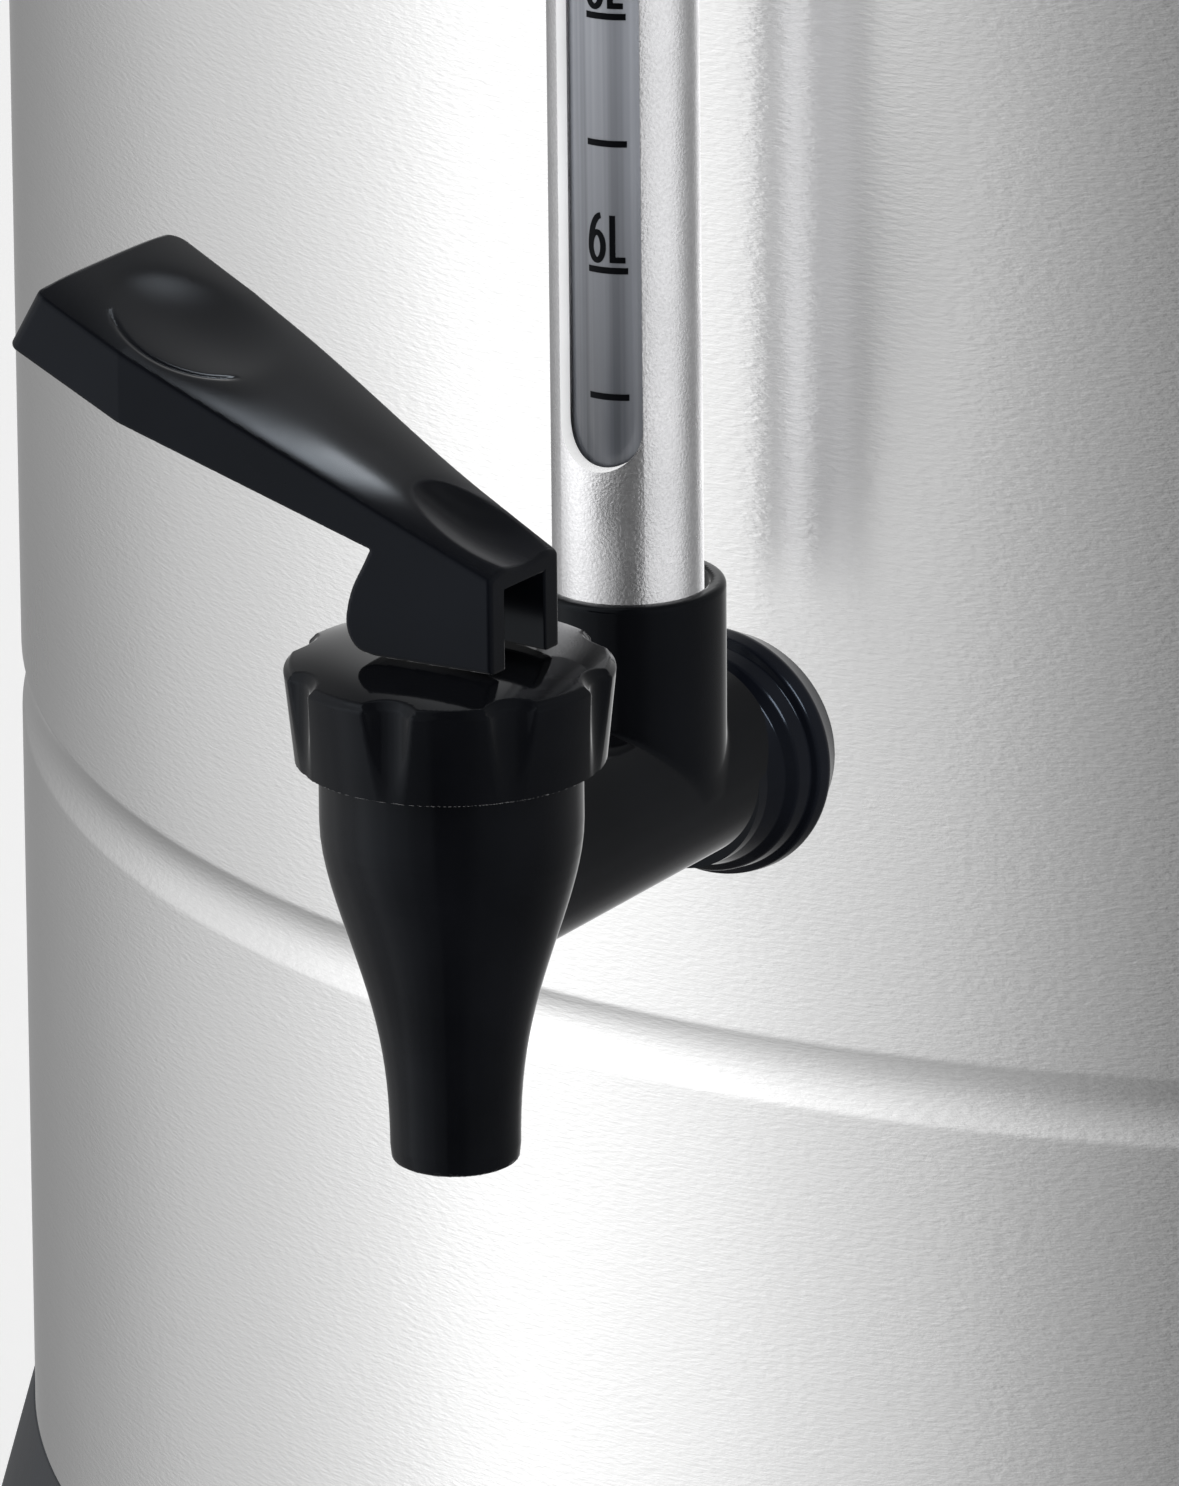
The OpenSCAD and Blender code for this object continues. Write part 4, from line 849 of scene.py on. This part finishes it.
def tap_bonnet():
    """The screwed ring over the valve, with eight grip notches that run out downwards."""
    low_z = STEM_Z + VALVE_H
    pitch = 2 * math.pi / 8
    phase = math.radians(7.4)
    notch_r, notch_d, draft = 3.6, 1.4, 1.1
    flat_r, slope_l, roof, hole_r = 6, 10.5, 4, 4.7
    chamfer, diagonal = 0.75, 0.7071

    def distance(x, y, z):
        r = np.hypot(x, y)
        share = np.clip((z - low_z) / (DECK_Z - low_z), 0, 1.3)
        wall = BONNET_R - draft * (1 - share)
        a = np.arctan2(y, x) - phase
        a = (a + pitch / 2) % pitch - pitch / 2
        reach = wall + notch_r - notch_d * np.clip((share + 0.03) / 1.03, -0.3, 1.3)
        notch = np.hypot(r * np.cos(a) - reach, r * np.sin(a)) - notch_r
        side = round_and(r - wall, -notch, 0.3)
        deck = z - DECK_Z - DOME * (1 - np.clip((r - flat_r) / slope_l, 0, 1) ** 2)
        ring = round_and(np.maximum(side, low_z - z), deck, 0.1)
        ring = round_and(ring, (side + deck + chamfer) * diagonal, 0.12)
        inside = np.maximum(r - VALVE_R + 2.0, z - DECK_Z + roof)
        hole = np.maximum(r - hole_r, low_z - 1 - z)
        return np.maximum(ring, -np.minimum(inside, hole))

    low = (-BONNET_R - 1, -BONNET_R - 1, low_z - 1)
    high = (BONNET_R + 1, BONNET_R + 1, DECK_Z + DOME + 1)
    mesh = skin("tap_bonnet_mesh", distance, low, high, 0.25, TAP)
    finish_piece("tap_grip_ring", mesh, TAP_BLACK, "urn", ["tap_bonnet"])


def tap_lever():
    """The lever: a rising paddle with a thumb dish, a scooped root and a forked heel."""
    block_l, block_up, rise = 9.4, 5.3, math.tan(math.radians(23.0))
    root_half, widening, end_x, end_widening = 6.1, 0.1155, 33, 0.02
    flare_l, flare_w = 28, 2.2
    curl, curl_x, curl_l, crowning = 0.6, 17, 25, 0.8
    tip_x, tip_z, tip_lean = 43.2, 27.6, 0.57
    heel = [(4.5, 5.9), (5.3, 4.2), (6.6, 1.5), (7.3, -1.4), (7.1, -3.4), (6.0, -4.9), (4.1, -5.4)]
    heel = smooth_line(heel, 5)
    under = [(-block_l, 60), (80, 60), (80, 36.2), (33.5, 15.2), *heel, (-block_l, -5.4)]
    dish, dish_size, dish_d, dish_lip = (31.8, -0.8), (8.2, 9.3), 0.75, 0.3
    crease_d, crease_thin, crease_y, crease_x = 0.15, 26, 2.2, 37.5
    pocket, pocket_size, pocket_d, pocket_lip = (-4.0, -0.6), (8.0, 5.0), 1.1, 0.1
    slot_half, slot_z, slot_x = 3.5, 3.0, 6.24
    core_l, core_h, core_in = 8.0, 0.8, 0.3

    def scoop(x, y, middle, size, depth, lip):
        q = ((x - middle[0]) / size[0]) ** 2 + ((y - middle[1]) / size[1]) ** 2
        bowl = depth * (1 - q)
        return (bowl + np.sqrt(bowl ** 2 + lip ** 2)) / 2

    def distance(x, y, z):
        half = root_half + widening * (np.clip(x, -block_l, end_x) + block_l)
        half = half + end_widening * np.clip(x - end_x, 0, 20)
        flare = np.clip(x / flare_l, 0, 1)
        half = half + np.where(y < 0, flare_w * flare * flare * (3 - 2 * flare), 0)
        top = block_up + (x + block_l) * rise + curl * np.clip((x - curl_x) / curl_l, 0, 2) ** 2
        top = top - crowning * np.clip(np.abs(y) / half, 0, 1.4) ** 3
        top = top - scoop(x, y, dish, dish_size, dish_d, dish_lip)
        ring = np.sqrt(((x - dish[0]) / dish_size[0]) ** 2 + ((y - dish[1]) / dish_size[1]) ** 2) - 1
        crease = np.clip((y - crease_y) / 1.5, 0, 1) * np.clip((crease_x - x) / 2, 0, 1)
        top = top - crease_d * crease * np.exp(-(ring * crease_thin) ** 2)
        top = top - scoop(x, y, pocket, pocket_size, pocket_d, pocket_lip)
        sides = (np.abs(y) - half) * 0.99
        tip = (x - tip_x - tip_lean * (tip_z - z)) * 0.914
        body = round_and(sides, tip, 1.75 - 0.45 * np.tanh(y))
        body = round_and(body, outline_distance(x, z, under), 0.5)
        body = round_and(body, (z - top) * 0.92, 0.4)
        slot = np.maximum(np.maximum(np.abs(y) - slot_half, z - slot_z), x - slot_x)
        return round_and(body, -slot, 0.2)

    def core(x, y, z):
        """A part inside the heel, which the bonnet mirrors."""
        return np.maximum(np.maximum(distance(x, y, z) + core_in, x - core_l), z - core_h)

    turn = Matrix.Rotation(math.radians(-90 - LEVER_TURN), 4, "Z")
    place = TAP @ Matrix.Translation((0, 0, PIN_Z)) @ turn
    mesh = skin("tap_lever_mesh", distance, (-10.4, -14.6, -6.4), (48.6, 12.4, 30.6), 0.28, place)
    finish_piece("tap_paddle", mesh, LEVER_BLACK, "lever", ["tap_lever"])
    mesh = skin("tap_heel_mesh", core, (-10.4, -9.6, -6.4), (9.4, 9.6, core_h + 1), 0.4, place)
    finish_piece("tap_heel", mesh, LEVER_BLACK, "lever", [], True)


def valve_spring():
    """The coil over the plunger. The real coil shortens as the plunger rises; this one keeps one length."""
    turns, per_turn, wire, lift = 5, 32, 0.6, 1.884
    steps = turns * per_turn
    low, high = (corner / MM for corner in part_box("tap_spring"))
    middle = (low + high) / 2
    radius = (high.x - low.x) / 2 - wire
    height = high.z - low.z
    path = []
    for i in range(steps + 1):
        a = 2 * math.pi * i / per_turn
        z = low.z + wire + (height - 2 * wire) * i / steps
        path.append((middle.x + radius * math.cos(a), middle.y + radius * math.sin(a), z))
    mesh = make_mesh("tap_coil_mesh", *swept(path, [wire] * len(path), 10))
    piece = finish_piece("tap_coil", mesh, ZINC, "urn", ["tap_spring"])
    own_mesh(piece)


# Base and controls

def base_ring():
    """The flared skirt with a ledge for the bottom cover, and the block round the mains inlet."""
    neck_r, neck_out, neck_z = 150.0, 153.0, EDGE_Z + 10
    ledge_z, ledge_top = 11.5, 14.5
    outline = rounded([
        (neck_r, neck_z, 0.4), (neck_out, neck_z, 0.4), (neck_out, EDGE_Z, 0), (DRUM_R + 0.2, EDGE_Z, 0.3),
        (BASE_R, FOOT_H, 1.2), (BASE_R - 3.0, FOOT_H, 0.8), (BASE_R - 3.9, ledge_z, 0), (neck_r, ledge_z, 0),
        (neck_r, ledge_top, 0), (BASE_R - 4.8, ledge_top, 0), (neck_r, EDGE_Z - 4, 0)])
    mesh = turned("base_ring_mesh", outline, DRUM, 256)
    half_w, low, high, corner, inner_y, face_y = 32, 16, 64, 3, 140, 168.33
    face = [(-half_w, low, corner), (half_w, low, corner), (half_w, high, corner), (-half_w, high, corner)]
    back = prism(rounded(face), inner_y, face_y)
    mount = make_mesh("base_mount_mesh", *back, DRUM)
    finish_piece("base_skirt", mesh, BASE_BLACK, "urn", ["base_ring"])
    finish_piece("inlet_mount", mount, BASE_BLACK, "urn", [])


PANEL = Matrix.Translation((0, PANEL_Y, PANEL_Z)) @ Matrix.Rotation(math.pi / 2, 4, "X")


def control_knob():
    """The temperature knob: a skirt, a ribbed grip and a raised pointer."""
    top, skirt_r, skirt_h, gap = 15.0, 17.0, 3.0, 0.6
    grip_r, draft, ribs, rib_d = 15.3, 0.12, 20, 0.3
    pointer_y, pointer_half, ink_z = 7.5, (1.0, 5.5, 1.6), 15.79

    def distance(x, y, z):
        r = np.hypot(x, y)
        skirt = round_and(r - skirt_r + 0.25 * z, np.abs(z - gap - skirt_h / 2) - skirt_h / 2, 0.6)
        wall = grip_r - draft * z + rib_d * np.cos(ribs * np.arctan2(y, x))
        grip = round_and((r - wall) * 0.9, np.maximum(z - top, gap - z), 1.0)
        pointer = box_distance(x, y - pointer_y, z - top + 0.8, pointer_half, 0.4)
        return round_or(round_or(skirt, grip, 0.8), pointer, 0.4)

    mesh = skin("control_knob_mesh", distance, (-18, -18, -0.4), (18, 18, 17), 0.35, PANEL)
    finish_piece("temperature_dial", mesh, KNOB_BLACK, "temperature_knob", ["control_knob"])
    line = ribbon([(0, 3.0), (0, 12.4)], 1.0, INK_D, lambda x, y, h: (x, y, ink_z + h))
    mesh = make_mesh("pointer_mesh", *line, PANEL)
    finish_piece("temperature_pointer", mesh, WHITE_INK, "temperature_knob", [])


def panel_marks():
    """Ticks round the knob with a few numbers, and the signs on the rocker."""
    def flat(x, y, h):
        return (x, y, h - 0.01)

    bands = []
    sweep, ticks, tick_r, tick_end, long_end = 270, 10, 18.6, 20.2, 21.0
    sign_w, sign_h, sign_gap, sign_t = 1.8, 2.9, 0.7, 0.42
    for k in range(ticks + 1):
        a = math.radians(90 - sweep * k / ticks)
        out_r = long_end if k % 5 == 0 else tick_end
        ends = [(r * math.cos(a), r * math.sin(a)) for r in (tick_r, out_r)]
        bands.append(ribbon(ends, 0.5, INK_D, flat))
    for text, at_x, at_y in (("20", 0, 21.6), ("60", 17.0, -18.6), ("100", -25.0, -1.4)):
        bands += lettering(text, sign_w, sign_h, sign_gap, sign_t, INK_D,
                           lambda x, y, h: flat(x + at_x, y + at_y, h))
    mesh = make_mesh("panel_marks_mesh", *joined(bands), PANEL)
    finish_piece("panel_marks", mesh, WHITE_INK, "urn", [])

    tilt = Matrix.Rotation(math.radians(ROCKER_TILT), 4, "X")
    place = PANEL @ Matrix.Translation((SWITCH_X, 0, -ROCKER_IN)) @ tilt
    signs = [(oval(0, 6.6, 1.5, 1.9), 1), ([(0, -8.4), (0, -4.8)], -1)]
    face_z, slope = 5.39, 0.1524
    bands = []
    for line, way in signs:
        bands.append(ribbon(line, 0.6, INK_D, lambda x, y, h: (x, y, face_z + slope * way * y + h)))
    mesh = make_mesh("rocker_signs_mesh", *joined(bands), place)
    finish_piece("rocker_signs", mesh, WHITE_INK, "rocker", [])


def dress(node, material, edge=0.0):
    """Gives a CAD node its finish, and softens its edges."""
    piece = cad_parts[node]
    piece.data.materials.clear()
    piece.data.materials.append(material)
    piece.visible_glossy = False
    if edge:
        step = piece.modifiers.new("edge", "BEVEL")
        step.width = edge * MM
        step.segments = 2
        step.limit_method = "ANGLE"
        step.angle_limit = math.radians(40)


drum()
lid()
lid_knob()
handle("grip_right", 0, "handle_right")
handle("grip_left", 180, "handle_left")
gauge_cover()
gauge_tube()
gauge_cap()
gauge_marks()
tap_body()
tap_collar()
tap_bonnet()
tap_lever()
valve_spring()
base_ring()
control_knob()
panel_marks()

for nodes, material, edge in (
    (["control_panel", "switch_frame", "power_inlet"], PANEL_BLACK, 0.6),
    (["power_switch"], GREEN, 0.4),
    (["lamp_power"], RED_LENS, 0.2),
    (["lamp_keep_warm"], AMBER_LENS, 0.2),
    (["feet"], RUBBER, 0.5),
    (["bottom_cover", "tank_floor"], TANK_STEEL, 0.0),
    (["sensor_clip", "thermostat_spindle", "lever_pin"], ZINC, 0.0),
    (["lid_screw", "handle_screws", "gauge_screw", "cover_screws", "inlet_screws"], ZINC, 0.2),
    (["gauge_seal", "gauge_grommet", "tap_gasket", "tap_seat"], SILICONE, 0.0),
    (["tap_guide", "tap_plunger", "terminal_block"], NYLON, 0.15),
    (["tap_nut", "element_bushings", "element_nuts", "inlet_pins"], BRASS, 0.3),
    (["thermostat", "thermal_cutout"], PHENOLIC, 0.4),
    (["heating_element"], HEATER, 0.0),
    (["sensor_bulbs"], COPPER, 0.0),
    (["reset_button"], RESET_RED, 0.3),
    (["wiring"], WIRE_RED, 0.0),
):
    for node in nodes:
        dress(node, material, edge)


# Floor, light and camera

def floor():
    """A wide pale floor."""
    size = 20.0
    mesh = bpy.data.meshes.new("floor_mesh")
    corners = [(-size, -size, 0), (size, -size, 0), (size, size, 0), (-size, size, 0)]
    mesh.from_pydata(corners, [], [(0, 1, 2, 3)])
    ground = bpy.data.objects.new("floor", mesh)
    bpy.context.scene.collection.objects.link(ground)
    s = Shader("pale_floor", Roughness=0.8, Emission_Strength=0.35)
    s.surface.inputs["Emission Color"].default_value = (1, 1, 1, 1)
    s.set("Base Color", s.mix(s.noise((3, 3, 3)), (0.84, 0.84, 0.84, 1), (0.88, 0.88, 0.88, 1)))
    mesh.materials.append(s.material)
    ground.visible_glossy = False


CAMERA_AZ = math.radians(29.91)
CAMERA_EL = math.radians(18.9)
CAMERA_ROLL = math.radians(-0.61)
CAMERA_FAR = 2612.0
CAMERA_LENS = 576.8
AIM_LEFT = 91.92
AIM_DOWN = 10.20

# Light of the studio against the angle left of the camera, in degrees
STUDIO = [
    (-180, 0.9), (-170, 0.6), (-155, 0.45), (-138, 0.3), (-90, 0.36), (-60, 0.4), (-34, 0.33), (-8, 0.1),
    (12, 0.06), (19, 0.30), (22, 0.34), (29, 0.42), (35, 0.51), (38.5, 0.65), (42, 0.74), (54, 0.90),
    (62, 1.14), (82, 1.45), (97, 0.97), (112, 0.74), (123, 0.66), (129, 0.52), (137, 0.42), (150, 0.30),
    (168, 0.26), (180, 0.9)]

# Light of the studio against the height of its direction, from straight down to straight up
HEIGHTS = [
    (-1.0, 0.3), (-0.7, 0.45), (-0.5, 0.62), (-0.32, 0.8), (0.0, 0.97), (0.3, 1.05), (0.6, 1.15),
    (0.85, 0.8), (1.0, 0.6)]


def studio():
    """Soft light from all round, and plain white behind the object."""
    world = bpy.data.worlds.new("studio")
    bpy.context.scene.world = world
    world.use_nodes = True
    nodes, links = world.node_tree.nodes, world.node_tree.links

    def ramp(stops, socket, low, high):
        share = nodes.new("ShaderNodeMapRange")
        share.inputs["From Min"].default_value = low
        share.inputs["From Max"].default_value = high
        made = nodes.new("ShaderNodeValToRGB")
        made.color_ramp.interpolation = "EASE"
        marks = made.color_ramp.elements
        first, last = stops[0][0], stops[-1][0]
        for k, (at, light) in enumerate(stops):
            mark = marks[k] if k < 2 else marks.new(1.0)
            mark.position = (at - first) / (last - first)
            mark.color = (light, light, light, 1)
        links.new(socket, share.inputs["Value"])
        links.new(share.outputs["Result"], made.inputs["Fac"])
        return made.outputs["Color"]

    plain = nodes["Background"]
    plain.inputs["Color"].default_value = (1, 1, 1, 1)
    soft = nodes.new("ShaderNodeBackground")
    soft.inputs["Strength"].default_value = 1.25
    where = nodes.new("ShaderNodeTexCoord")
    turn = nodes.new("ShaderNodeVectorRotate")
    turn.rotation_type = "Z_AXIS"
    turn.inputs["Angle"].default_value = math.pi / 2 - CAMERA_AZ
    split = nodes.new("ShaderNodeSeparateXYZ")
    angle = nodes.new("ShaderNodeMath")
    angle.operation = "ARCTAN2"
    both = nodes.new("ShaderNodeVectorMath")
    both.operation = "MULTIPLY"
    sight = nodes.new("ShaderNodeLightPath")
    mix = nodes.new("ShaderNodeMixShader")
    links.new(where.outputs["Generated"], turn.inputs["Vector"])
    links.new(turn.outputs["Vector"], split.inputs["Vector"])
    links.new(split.outputs["Y"], angle.inputs[0])
    links.new(split.outputs["X"], angle.inputs[1])
    links.new(ramp(STUDIO, angle.outputs["Value"], math.pi, -math.pi), both.inputs[0])
    links.new(ramp(HEIGHTS, split.outputs["Z"], -1, 1), both.inputs[1])
    links.new(both.outputs["Vector"], soft.inputs["Color"])
    links.new(sight.outputs["Is Camera Ray"], mix.inputs["Fac"])
    links.new(soft.outputs["Background"], mix.inputs[1])
    links.new(plain.outputs["Background"], mix.inputs[2])
    links.new(mix.outputs["Shader"], nodes["World Output"].inputs["Surface"])


def panel_light(name, where, aim, size, power, tint, pieces):
    """A soft panel that lights only the named pieces."""
    light = bpy.data.lights.new(name, "AREA")
    light.shape = "RECTANGLE"
    light.size, light.size_y = size
    light.energy = power
    light.color = tint
    lamp = bpy.data.objects.new(name, light)
    bpy.context.scene.collection.objects.link(lamp)
    lamp.location = where
    ahead = Vector(aim) - Vector(where)
    lamp.rotation_euler = ahead.to_track_quat("-Z", "Y").to_euler()
    lamp.visible_camera = False
    lit = bpy.data.collections.new(name)
    for piece in pieces:
        lit.objects.link(bpy.data.objects[piece])
    lamp.light_linking.receiver_collection = lit


def camera():
    """The photograph's view: a long lens from the front right, a little above."""
    right = Vector((math.cos(CAMERA_AZ), math.sin(CAMERA_AZ), 0))
    flat = Vector((math.sin(CAMERA_AZ), -math.cos(CAMERA_AZ), 0)) * math.cos(CAMERA_EL)
    back = flat + Vector((0, 0, math.sin(CAMERA_EL)))
    up = back.cross(right)
    side = right * math.cos(CAMERA_ROLL) + up * math.sin(CAMERA_ROLL)
    top = up * math.cos(CAMERA_ROLL) - right * math.sin(CAMERA_ROLL)
    aim = right * -AIM_LEFT + Vector((0, AXIS_Y, GROOVE_Z - AIM_DOWN))
    data = bpy.data.cameras.new("camera")
    data.sensor_width = 36.0
    data.lens = CAMERA_LENS
    data.clip_start, data.clip_end = 0.1, 100.0
    view = bpy.data.objects.new("camera", data)
    bpy.context.scene.collection.objects.link(view)
    turn = Matrix((side, top, back)).transposed().to_4x4()
    view.matrix_world = Matrix.Translation((aim + back * CAMERA_FAR) * MM) @ turn
    bpy.context.scene.camera = view


floor()
studio()
panel_light("lever_panel", (-0.012, -0.084, 0.364), (-0.012, -0.182, 0.238), (0.024, 0.05), 0.055,
            (0.9, 0.95, 1), ["tap_paddle"])
panel_light("gauge_panel", (0.36, -0.16, 0.22), (0, -0.147, 0.30), (0.5, 0.6), 0.6,
            (1, 1, 1), ["gauge_sleeve"])
panel_light("ring_panel", (0.2, -0.12, 0.35), (0.012, -0.13, 0.20), (0.08, 0.1), 0.55,
            (0.8, 0.88, 1), ["tap_ring"])
panel_light("gauge_back", (0, -0.1275, 0.33), (0, -0.147, 0.33), (0.016, 0.26), 0.0135,
            (1, 1, 1), ["gauge_sleeve"])
camera()
bpy.context.scene.view_settings.view_transform = "Standard"
